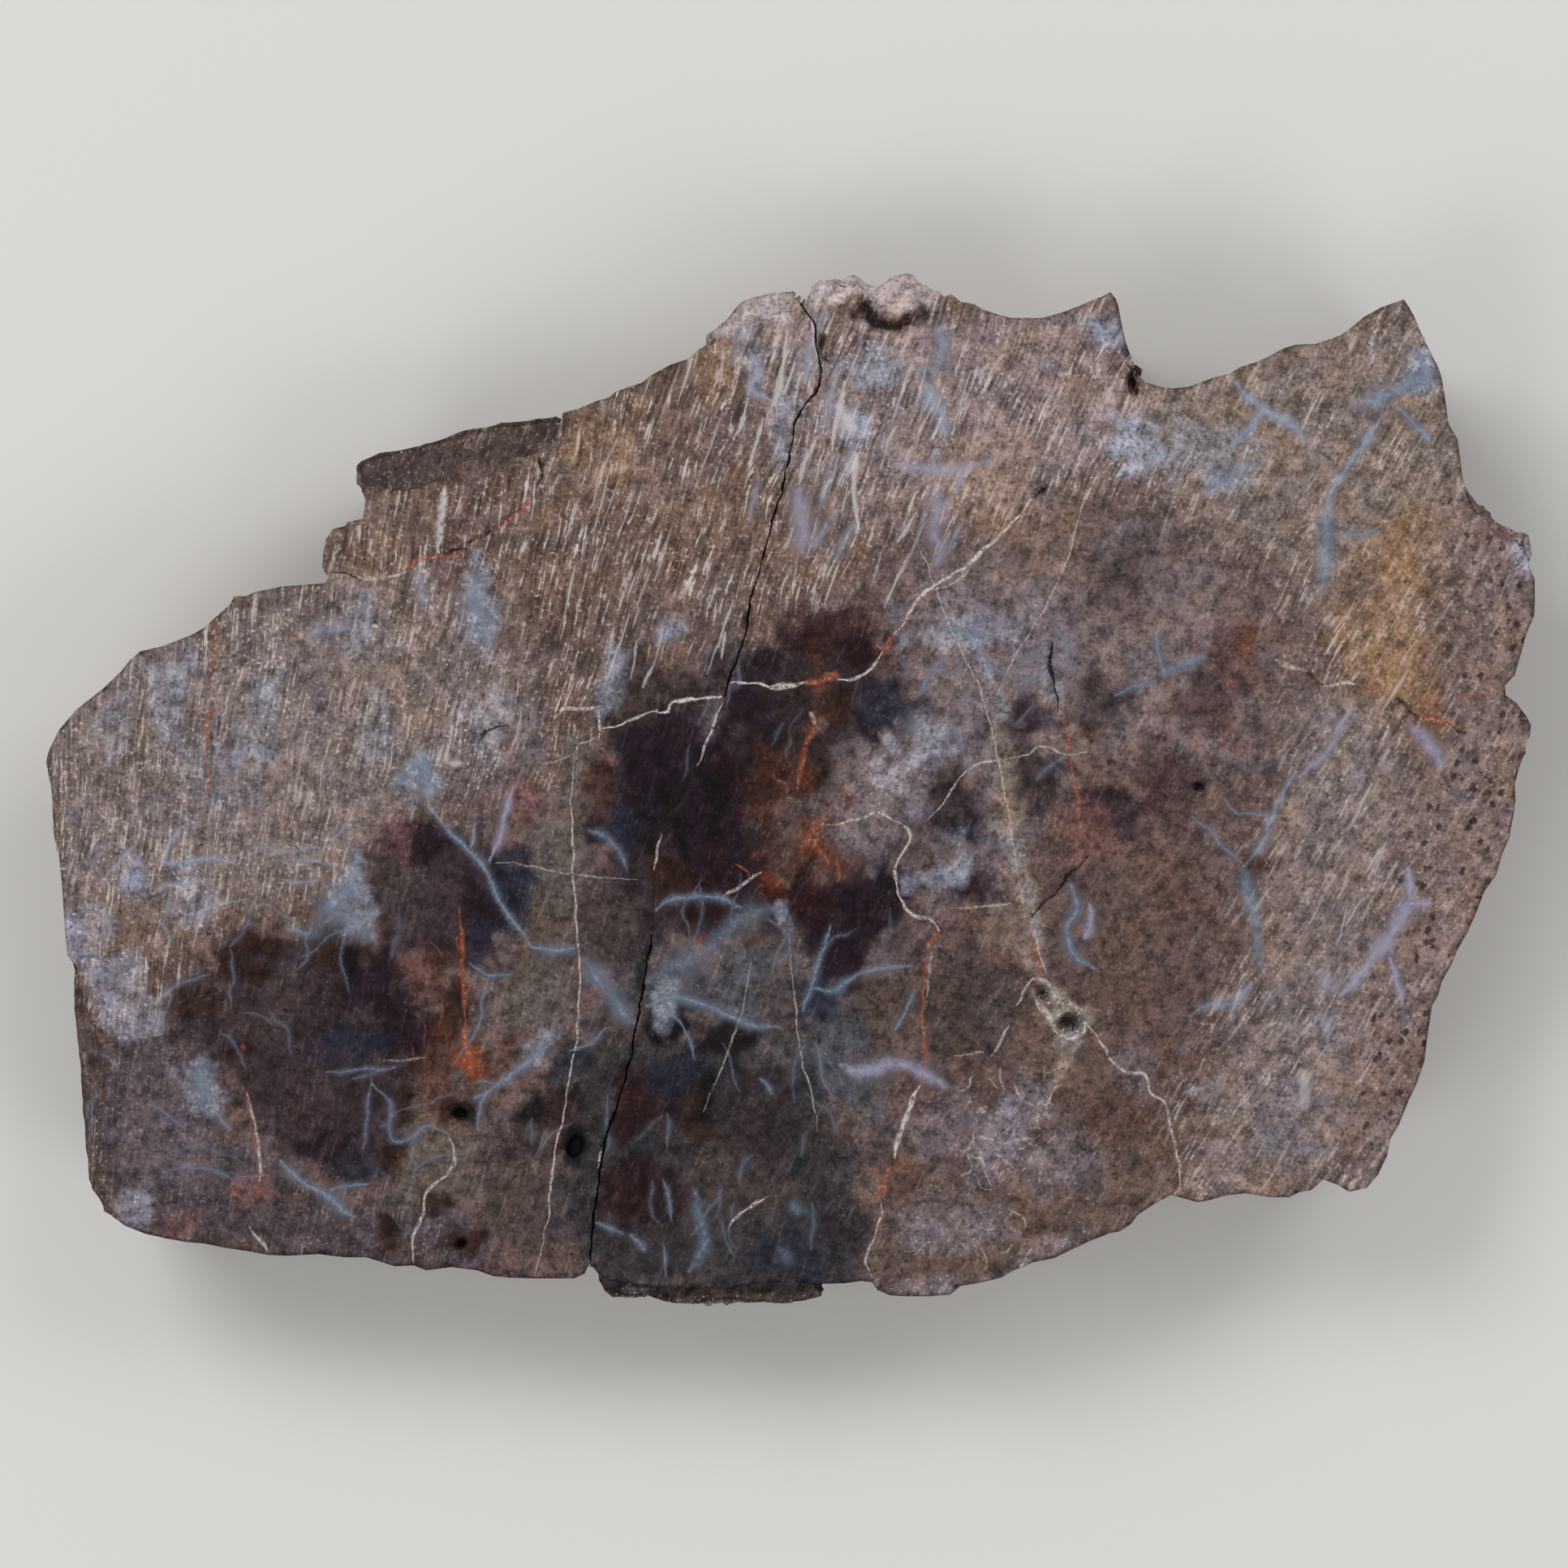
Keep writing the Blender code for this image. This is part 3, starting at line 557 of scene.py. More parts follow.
THREAD_FIELDS = (
    ThreadField(BLUE, (90, 1080, 460, 1530), 26, (30, 90), (1.6, 3.2), (0.2, 0.5), 30, 90),
    ThreadField(BLUE, (120, 1030, 420, 1140), 12, (40, 90), (1.6, 3.4), (0.3, 0.6), 60, 40),
    ThreadField(BLUE, (460, 1180, 700, 1550), 10, (24, 70), (1.4, 3.0), (0.2, 0.5), 40, 80),
    ThreadField(BLUE, (720, 1120, 1120, 1320), 9, (40, 90), (1.4, 2.8), (0.2, 0.4), 60, 60, 0.4),
    ThreadField(BLUE, (740, 1330, 1060, 1560), 16, (30, 80), (1.6, 3.2), (0.2, 0.45), 5, 30),
    ThreadField(BLUE, (1090, 780, 1340, 1130), 12, (30, 80), (1.5, 3.4), (0.2, 0.5), 10, 60),
    ThreadField(BLUE, (1440, 1240, 1640, 1440), 10, (20, 60), (1.8, 4.0), (0.2, 0.45), 30, 70),
    ThreadField(BLUE, (900, 400, 1180, 700), 16, (30, 80), (2.2, 4.4), (0.25, 0.55), 14, 10, 0.1),
    ThreadField(STREAK, (690, 480, 1180, 760), 34, (30, 80), (1.0, 1.8), (0.3, 0.75), 17, 4, 0.04),
    ThreadField(STREAK, (700, 760, 900, 880), 10, (20, 60), (1.0, 1.9), (0.4, 0.8), 17, 5, 0.05),
    ThreadField(STREAK, (1640, 860, 1720, 1300), 10, (20, 70), (1.0, 2.2), (0.3, 0.6), 30, 5, 0.05),
    ThreadField(BLUE, (780, 800, 1010, 960), 10, (20, 60), (1.2, 2.4), (0.15, 0.35), 14, 6, 0.1),
    ThreadField(SEAM, (1170, 1320, 1310, 1460), 36, (14, 40), (1.0, 2.0), (0.25, 0.6), 60, 90, 0.5),
    ThreadField(SEAM, (1110, 1480, 1260, 1570), 16, (12, 30), (1.0, 1.8), (0.2, 0.5), 60, 90, 0.5),
    ThreadField(RUST, (1440, 780, 1550, 960), 20, (8, 26), (1.2, 2.4), (0.3, 0.8), 20, 60, 0.5),
    ThreadField(RUST, (900, 960, 1050, 1110), 12, (8, 30), (1.2, 2.6), (0.3, 0.8), 10, 40),
    ThreadField(RUST, (510, 1150, 590, 1330), 10, (8, 30), (1.2, 2.2), (0.3, 0.7), 0, 16),
)


def strewn_threads() -> tuple[Stroke, ...]:
    """All the fine threads of the face, the same each time."""
    chance = random.Random(THREAD_SEED)
    return tuple(thread for area in THREAD_FIELDS for thread in area.threads(chance))


STROKES = (
    strewn_threads() + BLUE_VEINS + LILAC_VEINS + UPPER_CRACKS + MIDDLE_SEAMS + LOWER_SEAMS
    + RIGHT_SEAMS + MAIN_CRACK + HOLES
)

OUTER_AREAS = (
    Patch(Tint.ASH, 0.9, 60, (
        (40, 900), (200, 780), (420, 700), (560, 715), (640, 820), (640, 950), (480, 1040), (380, 1100),
        (200, 1140), (60, 1130),
    )),
    Patch(Tint.PALE, 0.9, 70, (
        (950, 380), (1380, 380), (1400, 500), (1350, 620), (1150, 640), (1000, 610), (940, 500),
    )),
    Patch(Tint.EAR, 0.9, 60, (
        (1400, 480), (1740, 380), (1810, 560), (1790, 640), (1640, 740), (1450, 640),
    )),
    Patch(Tint.FLANK, 0.95, 60, (
        (1540, 860), (1700, 840), (1780, 1000), (1720, 1200), (1660, 1460), (1460, 1470), (1500, 1300),
        (1560, 1150),
    )),
    Patch(Tint.RIM, 1.0, 60, (
        (1790, 600), (1920, 660), (1910, 1000), (1790, 1260), (1720, 1480), (1640, 1460), (1680, 1220),
        (1730, 1020), (1770, 880),
    )),
    Patch(Tint.TAN, 0.9, 42, (
        (1690, 640), (1745, 630), (1765, 690), (1750, 760), (1775, 850), (1760, 885), (1660, 850),
        (1650, 800), (1690, 750),
    )),
    Patch(Tint.HEATH, 1.0, 55, (
        (110, 1280), (230, 1190), (300, 1150), (430, 1090), (470, 1010), (560, 985), (680, 960), (730, 850),
        (790, 800), (930, 770), (1020, 740), (1120, 690), (1240, 640), (1400, 620), (1530, 680),
        (1600, 800), (1580, 950), (1530, 1100), (1500, 1280), (1440, 1400), (1420, 1500), (1250, 1600),
        (1000, 1640), (700, 1620), (400, 1580), (150, 1540), (80, 1420),
    )),
    Patch(Tint.MAUVE, 0.9, 60, (
        (1130, 700), (1240, 660), (1400, 650), (1520, 700), (1570, 800), (1550, 920), (1480, 1000),
        (1300, 1020), (1120, 920),
    )),
    Patch(Tint.UMBER, 0.9, 60, (
        (1300, 940), (1470, 930), (1495, 1020), (1490, 1180), (1470, 1300), (1400, 1400), (1250, 1540),
        (1120, 1560), (1110, 1300), (1180, 1120),
    )),
    Patch(Tint.CLAY, 0.9, 40, (
        (1110, 1430), (1300, 1440), (1430, 1380), (1450, 1470), (1300, 1560), (1120, 1600), (1060, 1570),
    )),
    Patch(Tint.LEAD, 0.9, 50, (
        (90, 1290), (230, 1270), (290, 1400), (420, 1480), (560, 1480), (620, 1590), (180, 1540),
        (90, 1440),
    )),
    *blots(Tint.TAN, (0.3, 1230, 600, 80, 60), (0.6, 880, 440, 30, 40), (0.5, 745, 555, 50, 45, 30),
           (0.3, 1310, 690, 60, 30, 60), (0.3, 1650, 760, 30, 60)),
    *blots(Tint.CLAY, (0.8, 1290, 1290, 75, 60), (0.7, 1390, 1370, 40, 70, 20), (0.5, 1400, 1180, 50, 90)),
    *blots(Tint.STONE, (0.9, 1190, 1240, 60, 65), (0.7, 640, 1460, 60, 80), (0.7, 1080, 1240, 50, 50)),
    *blots(Tint.OLIVE, (0.9, 680, 1080, 42, 90, 8), (0.9, 665, 1220, 50, 55), (0.7, 720, 960, 34, 60, 10),
           (0.8, 530, 1440, 50, 50), (0.4, 1300, 1400, 60, 50)),
    *blots(Tint.DUSK, (0.8, 1170, 770, 80, 50, 20), (0.6, 1270, 800, 60, 60), (0.7, 1400, 1310, 30, 30),
           (0.6, 1590, 1370, 45, 45), (0.6, 1200, 1400, 80, 50, 20), (0.5, 1300, 1430, 60, 40),
           (0.45, 1170, 1500, 80, 36), (0.5, 200, 1400, 60, 80), (0.5, 1240, 960, 34, 120, -10)),
    *blots(Tint.HEATH, (0.4, 1440, 1340, 60, 30, 60)),
)

CORE_AREAS = (
    Patch(Tint.SHADOW, 0.9, 34, (
        (215, 1230), (265, 1165), (340, 1150), (450, 1160), (530, 1215), (540, 1290), (505, 1360),
        (475, 1450), (400, 1450), (330, 1390), (280, 1320), (215, 1280),
    )),
    Patch(Tint.SHADOW, 0.9, 22, (
        (450, 1040), (520, 1012), (560, 1030), (640, 1060), (655, 1110), (630, 1190), (560, 1200),
        (470, 1175), (440, 1110),
    )),
    Patch(Tint.SMOKE, 0.9, 26, (
        (745, 870), (770, 810), (830, 840), (900, 800), (985, 780), (1080, 780), (1110, 860), (1050, 930),
        (985, 990), (960, 1080), (1030, 1090), (1100, 1070), (1110, 1140), (1050, 1210), (980, 1140),
        (830, 1160), (740, 1180), (720, 1110), (765, 1040), (738, 960),
    )),
    Patch(Tint.SLATE, 0.65, 38, (
        (715, 1170), (770, 1196), (830, 1180), (876, 1190), (920, 1150), (960, 1176), (1000, 1190),
        (1060, 1270), (1100, 1400), (1000, 1330), (900, 1270), (800, 1250),
    )),
    Patch(Tint.MOSS, 0.85, 50, (
        (700, 1290), (800, 1255), (900, 1280), (1000, 1320), (1060, 1450), (1060, 1600), (740, 1600),
        (690, 1500),
    )),
    *blots(Tint.STONE, (0.7, 960, 1230, 32, 52), (0.7, 900, 1460, 70, 60), (0.6, 780, 850, 44, 36),
           (0.8, 740, 1130, 36, 50), (0.7, 490, 1100, 45, 50), (0.5, 330, 1240, 50, 40)),
    *blots(Tint.SMOKE, (0.8, 1190, 1010, 48, 38), (0.7, 1270, 960, 34, 44), (0.6, 1240, 900, 34, 38),
           (0.7, 1200, 1100, 48, 26), (0.6, 1160, 960, 26, 28), (0.6, 930, 1370, 50, 60),
           (0.6, 1350, 860, 40, 36), (0.4, 1370, 720, 60, 40), (0.5, 395, 1250, 34, 40),
           (0.6, 455, 1350, 26, 46), (0.5, 650, 1400, 26, 40), (0.5, 700, 1350, 30, 50)),
    *blots(Tint.PLUM, (0.9, 830, 950, 72, 66, 10), (0.95, 882, 965, 34, 66, 10),
           (0.95, 945, 925, 24, 56, 10), (0.8, 920, 872, 26, 34), (0.9, 885, 1055, 66, 46, 40),
           (0.8, 800, 1000, 50, 50), (0.8, 940, 815, 28, 16), (0.85, 1078, 905, 24, 22),
           (0.9, 1070, 1110, 44, 62, 20), (0.9, 1040, 1172, 34, 42, 20), (0.8, 460, 1210, 44, 32),
           (0.85, 500, 1268, 38, 36), (0.8, 522, 1036, 40, 24), (0.8, 600, 1130, 30, 50, -20),
           (0.5, 1275, 880, 30, 26), (0.6, 410, 1410, 32, 18), (0.3, 1050, 1500, 36, 28),
           (0.6, 1380, 1000, 44, 30)),
    *blots(Tint.MAROON, (0.8, 790, 1360, 42, 44), (0.8, 790, 1470, 48, 44), (0.9, 1065, 800, 30, 17, -40),
           (0.5, 1020, 780, 50, 34), (0.6, 900, 950, 18, 44), (0.7, 880, 1080, 40, 20, 60),
           (0.8, 300, 1290, 13, 9), (0.3, 1440, 960, 50, 44), (0.5, 1200, 1092, 30, 16),
           (0.4, 1490, 860, 40, 44), (0.4, 1550, 1066, 22, 16)),
    *blots(Tint.NAVY, (0.8, 760, 1012, 40, 30), (0.8, 1092, 870, 34, 30), (0.8, 1142, 872, 18, 16),
           (0.8, 632, 1088, 26, 32), (0.7, 430, 1285, 38, 26), (0.8, 840, 1325, 40, 36),
           (0.8, 1008, 1230, 26, 28), (0.7, 960, 1550, 42, 30), (0.7, 1190, 1030, 36, 16),
           (0.6, 590, 1160, 24, 28), (0.6, 700, 1320, 22, 34), (0.5, 450, 1440, 34, 20)),
    *blots(Tint.SEPIA, (0.9, 284, 1184, 34, 20, 40), (0.9, 320, 1164, 26, 14), (0.8, 424, 1180, 34, 22),
           (0.8, 500, 1345, 34, 12, 100), (0.8, 486, 1430, 15, 26), (0.9, 1030, 880, 22, 36, 10),
           (0.9, 1002, 955, 16, 20), (0.8, 830, 1090, 42, 22, 60), (0.8, 560, 1245, 22, 34),
           (0.7, 545, 1480, 22, 18), (0.8, 571, 1532, 20, 17), (0.8, 480, 1515, 11, 24, -20),
           (0.7, 860, 1370, 20, 42), (0.5, 235, 1235, 40, 20), (0.7, 566, 1372, 24, 18),
           (0.5, 1350, 905, 18, 16), (0.6, 690, 1380, 14, 40, 8)),
    *blots(Tint.RUSSET, (0.7, 960, 965, 36, 60), (0.6, 985, 1065, 50, 38), (0.6, 540, 1322, 58, 22, 100),
           (0.5, 530, 1200, 24, 34), (0.7, 620, 1302, 30, 24), (0.6, 740, 980, 22, 40),
           (0.7, 1040, 1060, 40, 30), (0.3, 1370, 1380, 40, 40), (0.4, 1520, 800, 36, 40, 40),
           (0.35, 1110, 1460, 30, 22), (0.5, 1010, 850, 60, 14, 90)),
    *blots(Tint.OCHRE, (0.3, 1000, 1022, 16, 28), (0.4, 998, 915, 5, 50, 8), (0.9, 580, 1310, 17, 22),
           (0.3, 1540, 790, 12, 16), (0.3, 1760, 880, 44, 18, 110), (0.3, 965, 985, 14, 14)),
    *blots(Tint.RUST, (0.25, 570, 1190, 8, 50), (0.6, 945, 1088, 12, 22), (0.7, 870, 1154, 7, 24, 100),
           (0.25, 990, 1090, 30, 14), (0.15, 1100, 1446, 18, 9)),
    *blots(Tint.MAROON, (0.9, 990, 1112, 38, 26), (0.9, 874, 1128, 30, 20, 60), (0.8, 985, 1080, 14, 24)),
    *blots(Tint.COAL, (0.9, 822, 1268, 38, 26), (0.8, 905, 1280, 26, 22), (0.8, 866, 1350, 12, 24),
           (0.9, 710, 1412, 12, 24), (0.9, 437, 1184, 13, 17), (0.9, 566, 1372, 15, 11, 30),
           (0.6, 790, 1010, 34, 12, 60), (0.7, 650, 1370, 16, 9), (0.6, 740, 1030, 18, 12),
           (0.6, 835, 1015, 36, 12, 70), (0.6, 885, 985, 14, 30, 10), (0.5, 950, 900, 10, 18),
           (0.6, 1085, 1080, 14, 18), (0.6, 790, 1205, 8, 20, 10), (0.5, 1160, 972, 18, 10)),
)

LIGHT_AREAS = (
    *blots(Tint.DUSK, (0.95, 1100, 965, 44, 56, 10), (0.8, 1060, 1030, 56, 26, 60), (0.8, 652, 928, 24, 38),
           (0.6, 1050, 940, 44, 26, 60), (0.6, 1170, 880, 42, 34), (0.6, 1225, 1010, 24, 90, -8),
           (0.6, 1170, 1065, 56, 24, 100), (0.5, 970, 1000, 12, 34), (0.5, 880, 880, 14, 40, 20)),
    *blots(Tint.ROSE, (0.6, 490, 1022, 44, 18, 80), (0.6, 648, 992, 26, 26), (0.5, 1340, 1030, 36, 36),
           (0.5, 222, 1512, 22, 14), (0.5, 305, 1465, 30, 18), (0.5, 515, 1195, 20, 28),
           (0.4, 570, 690, 60, 24, 80)),
    *blots(Tint.SAND, (0.4, 1096, 958, 26, 40), (0.75, 1262, 1100, 19, 120, -14),
           (0.6, 1238, 960, 15, 70, -8), (0.5, 1310, 1290, 26, 14, 100), (0.4, 1240, 1150, 24, 40),
           (0.5, 620, 1165, 18, 18), (0.35, 1072, 1462, 14, 20)),
    *blots(Tint.SKY, (0.7, 163, 1078, 14, 30), (0.8, 518, 960, 22, 28), (0.8, 1398, 546, 28, 34),
           (0.4, 1460, 560, 80, 34), (0.8, 1364, 414, 22, 18), (0.7, 594, 750, 16, 54, -8),
           (0.7, 823, 778, 15, 15), (0.6, 750, 832, 15, 38, 10), (0.4, 608, 888, 34, 34),
           (0.7, 1046, 524, 18, 30), (0.6, 1078, 450, 36, 28), (0.8, 1758, 452, 22, 26),
           (0.6, 1148, 915, 26, 22), (0.6, 1180, 1052, 44, 12, 100), (0.8, 964, 1126, 9, 15),
           (0.7, 440, 1110, 20, 54, -10), (0.7, 820, 1236, 44, 10, 100), (0.5, 1290, 850, 16, 34),
           (0.5, 225, 830, 16, 30), (0.5, 340, 860, 18, 40), (0.4, 440, 775, 40, 10, 100),
           (0.6, 250, 1340, 24, 34), (0.5, 1510, 590, 26, 20), (0.5, 660, 1290, 14, 34, 40),
           (0.5, 975, 500, 14, 60, 14), (0.5, 930, 455, 16, 40, -8), (0.45, 1190, 778, 24, 62, 80),
           (0.6, 1150, 1082, 32, 14, -20), (0.5, 1222, 830, 10, 50, -20), (0.4, 200, 860, 22, 50, -20),
           (0.4, 320, 880, 22, 60, 10), (0.35, 140, 900, 20, 40), (0.35, 460, 900, 30, 40),
           (0.3, 250, 950, 30, 40)),
    *blots(Tint.MILK, (0.6, 1096, 952, 18, 32, 10), (0.5, 1270, 1120, 7, 80, -14),
           (0.8, 144, 1216, 38, 62, -30), (0.8, 110, 1150, 30, 40), (0.8, 155, 1490, 30, 20, -40),
           (0.5, 240, 1090, 90, 22, 80), (0.4, 1235, 1385, 70, 30, 130), (0.3, 1180, 1520, 24, 60, 90),
           (0.45, 1140, 1584, 80, 9), (0.4, 1262, 1558, 50, 8, -28)),
)

EDGE_AREAS = (
    Patch(Tint.BAND, 1.0, 8, (
        (425, 545), (560, 505), (700, 490), (694, 530), (640, 556), (560, 572), (540, 596), (505, 600),
        (470, 590), (432, 600),
    )),
    Patch(Tint.CHIP, 1.0, 6, ((850, 430), (890, 370), (985, 335), (985, 388), (940, 398), (895, 412))),
    Patch(Tint.LUMP, 1.0, 6, (
        (990, 330), (1060, 320), (1140, 320), (1165, 350), (1150, 385), (1120, 400), (1080, 385),
        (1060, 360), (1000, 375),
    )),
    Patch(Tint.RIND, 1.0, 5, (
        (1056, 370), (1072, 386), (1096, 395), (1130, 395), (1153, 374), (1152, 402), (1112, 417),
        (1072, 407), (1050, 388),
    )),
    Patch(Tint.BAND, 0.9, 8, (
        (60, 1180), (85, 1200), (105, 1260), (135, 1300), (128, 1420), (150, 1500), (90, 1500), (70, 1300),
    )),
    *blots(Tint.MILK, (0.9, 1874, 680, 18, 24)),
    Patch(Tint.VUG, 0.7, 6, (
        (1272, 1206), (1298, 1208), (1318, 1224), (1334, 1250), (1340, 1272), (1318, 1286), (1298, 1276),
        (1284, 1252), (1272, 1232),
    )),
    *blots(Tint.ROSE, (0.5, 1856, 654, 18, 12)),
    # Painted shade along the step down to the bottom crust.
    Patch(Tint.GAP_SHADE, 0.9, 4, (
        (735, 1588), (860, 1592), (1020, 1588), (1020, 1593), (860, 1600), (735, 1596),
    )),
    Patch(Tint.CRUST, 1.0, 4, ((730, 1597), (860, 1601), (1020, 1595), (1030, 1625), (730, 1625))),
    *blots(Tint.RIND, (0.8, 1393, 466, 8, 26)),
)

AREAS = OUTER_AREAS + CORE_AREAS + LIGHT_AREAS + EDGE_AREAS


def catmull(path: np.ndarray, step: float) -> np.ndarray:
    """Rounds a polyline off and spaces its points evenly.

    Args:
        path: The corners, one to a row.
        step: The distance wanted between points.

    Returns:
        The points of the smooth path.
    """
    if len(path) < 3:
        knots = path
    else:
        ends = np.vstack([2 * path[0] - path[1], path, 2 * path[-1] - path[-2]])
        share = np.linspace(0, 1, CURVE_CUTS, endpoint=False)[:, None]
        pieces = []
        for index in range(1, len(ends) - 2):
            before, start, end, after = ends[index - 1:index + 3]
            pieces.append(0.5 * (
                2 * start + (end - before) * share
                + (2 * before - 5 * start + 4 * end - after) * share ** 2
                + (3 * start - before - 3 * end + after) * share ** 3
            ))
        knots = np.vstack(pieces + [path[-1:]])
    lengths = np.concatenate([[0], np.cumsum(np.hypot(*np.diff(knots, axis=0).T))])
    count = max(2, int(round(lengths[-1] / step)) + 1)
    goals = np.linspace(0, lengths[-1], count)
    return np.stack([np.interp(goals, lengths, knots[:, axis]) for axis in (0, 1)], 1)


def perlin(places: np.ndarray, size: float, seed: float, octaves: int = 2) -> np.ndarray:
    """Smooth unevenness from about -1 to 1 at places on the face or in space.

    Args:
        places: Rows of two or three coordinates.
        size: The width of the lumps, in the same unit.
        seed: A shift that tells one pattern from another.
        octaves: How many finer layers there are.

    Returns:
        One value for each row.
    """
    scaled = places / size
    depth = scaled[:, 2] if places.shape[1] > 2 else np.zeros(len(places))
    values = [
        noise.fractal(Vector((x + seed, y - seed, z + SEED_IN_DEPTH * seed)), 1.0, 2.0, octaves)
        for x, y, z in zip(scaled[:, 0], scaled[:, 1], depth)
    ]
    return np.array(values)


@dataclass(frozen=True)
class Unevenness:
    """A smooth pattern: the width of its lumps, its height, its seed and its finer layers."""

    size: float
    height: float
    seed: float
    octaves: int = 3

    def at(self, places: np.ndarray) -> np.ndarray:
        """The pattern's height at each place."""
        return self.height * perlin(places, self.size, self.seed, self.octaves)


def smooth_step(value: np.ndarray) -> np.ndarray:
    """Eases 0 to 1."""
    held = np.clip(value, 0.0, 1.0)
    return held * held * (3.0 - 2.0 * held)


@dataclass(frozen=True)
class PhotoFrame:
    """Turns pixels of the straight-down photograph into metres on the slab."""

    left: float = 50.0
    right: float = 1893.0
    top: float = 329.0
    bottom: float = 1615.0
    picture: float = 1932.0
    slab_width: float = 0.065

    @property
    def scale(self) -> float:
        """Metres to a pixel at the sawn face."""
        return self.slab_width / (self.right - self.left)

    @property
    def middle(self) -> Pixel:
        """The pixel over the slab's origin."""
        return 0.5 * (self.left + self.right), 0.5 * (self.top + self.bottom)

    def place(self, pixels: Sequence[Pixel]) -> np.ndarray:
        """Pixels as rows of x and y in metres.

        Args:
            pixels: Places on the photo.

        Returns:
            The same places on the slab.
        """
        rows = np.array(pixels, float).reshape(-1, 2)
        middle = self.middle
        return np.stack([rows[:, 0] - middle[0], middle[1] - rows[:, 1]], 1) * self.scale

    def pixels(self, places: np.ndarray) -> np.ndarray:
        """Places in metres as pixels of the photograph."""
        middle = self.middle
        return np.stack([middle[0] + places[:, 0] / self.scale, middle[1] - places[:, 1] / self.scale], 1)


@dataclass
class Markings:
    """Every mark on the face, measured at the places of a mesh."""

    photo: PhotoFrame
    strokes: tuple[Stroke, ...] = STROKES
    patches: tuple[Patch | Blot, ...] = AREAS
    path_step: float = 4.0
    wander: float = 2.4
    wander_size: float = 16.0
    wander_seeds: Pair = (0.0, 40.0)
    streak_wander: float = 0.3
    swell: float = 0.6
    swell_size: float = 20.0
    swell_seed: float = 80.0
    thinnest: float = 0.4
    edge_right: Unevenness = Unevenness(55.0, 9.0, 5.0, 4)
    edge_down: Unevenness = Unevenness(55.0, 9.0, 25.0, 4)
    ragged: Unevenness = Unevenness(22.0, 26.0, 45.0, 4)
    ragged_least: float = 0.2
    blotches: Unevenness = Unevenness(22.0, 0.8, 71.0)
    clouds: Unevenness = Unevenness(90.0, 0.3, 81.0)
    warmth: Unevenness = Unevenness(46.0, 8.0, 91.0)
    clumps: Unevenness = Unevenness(60.0, 0.9, 33.0)
    clump_range: Pair = (0.2, 1.8)
    warm_tilt: Triple = (0.5, 0.0, -0.8)
    colour_range: Pair = (4.0, 250.0)
    lightness: float = 0.24
    tightness: float = 1.5
    farthest: float = 3.0
    taper_share: float = 0.18
    taper_least: float = 0.45
    widest_row: float = 4.8
    row_margin: float = 0.8

    def path(self, stroke: Stroke, seed: float) -> np.ndarray:
        """The stroke's own line in metres, rounded off and a little uneven.

        Args:
            stroke: The line as it was read.
            seed: Which unevenness it gets.

        Returns:
            Rows of x and y.
        """
        scale = self.photo.scale
        line = catmull(self.photo.place(stroke.points), self.path_step * scale)
        size = self.wander_size * scale
        shift = np.stack([perlin(line, size, seed + more) for more in self.wander_seeds], 1)
        straight = self.streak_wander if stroke.mark is Mark.STREAK else 1.0
        return line + shift * self.wander * straight * scale

    def stroke_rows(self) -> np.ndarray:
        """Places along the thin lines, where the face needs points of its own.

        Returns:
            Rows of x and y.
        """
        rows = []
        for number, stroke in enumerate(self.strokes):
            if stroke.half_width < self.widest_row:
                line = self.path(stroke, float(number))
                way = np.gradient(line, axis=0)
                way /= np.maximum(np.hypot(*way.T)[:, None], TINY)
                across = np.stack([-way[:, 1], way[:, 0]], 1)
                offset = (stroke.half_width + self.row_margin) * self.photo.scale
                rows += [line, line + across * offset, line - across * offset]
        return np.vstack(rows)

    def away(self, places: np.ndarray, stroke: Stroke) -> np.ndarray:
        """Distances in metres from a stroke's corners joined up."""
        line = catmull(self.photo.place(stroke.points), self.path_step * self.photo.scale)
        return np.min([np.hypot(*(places - point).T) for point in line], axis=0)

    def lines(self, places: np.ndarray, narrowest: float = 0.0) -> dict[str, np.ndarray]:
        """How near each place is to each kind of line.

        Args:
            places: Rows of x and y in metres.
            narrowest: The least half width of the lines that count, in pixels.

        Returns:
            Attribute names with one value for each place: off in half widths, and ink.
        """
        scale = self.photo.scale
        found: dict[str, np.ndarray] = {}
        for mark in Mark:
            found[f"{mark.value}_off"] = np.full(len(places), self.farthest)
            found[f"{mark.value}_ink"] = np.zeros(len(places))
        for number, stroke in enumerate(self.strokes):
            line = self.path(stroke, float(number))
            reach = self.farthest * stroke.half_width * scale
            boxed = (places > line.min(0) - reach) & (places < line.max(0) + reach)
            near = np.flatnonzero(boxed.all(1))
            if len(near) and stroke.half_width >= narrowest:
                swell = 1.0 + self.swell * perlin(line, self.swell_size * scale, number + self.swell_seed)
                widths = np.maximum(swell, self.thinnest) * stroke.half_width * scale
                off = self._offsets(places[near], line, widths)
                offs, inks = found[f"{stroke.mark.value}_off"], found[f"{stroke.mark.value}_ink"]
                closer = off < offs[near]
                offs[near[closer]] = off[closer]
                inks[near[closer]] = stroke.strength
        return found

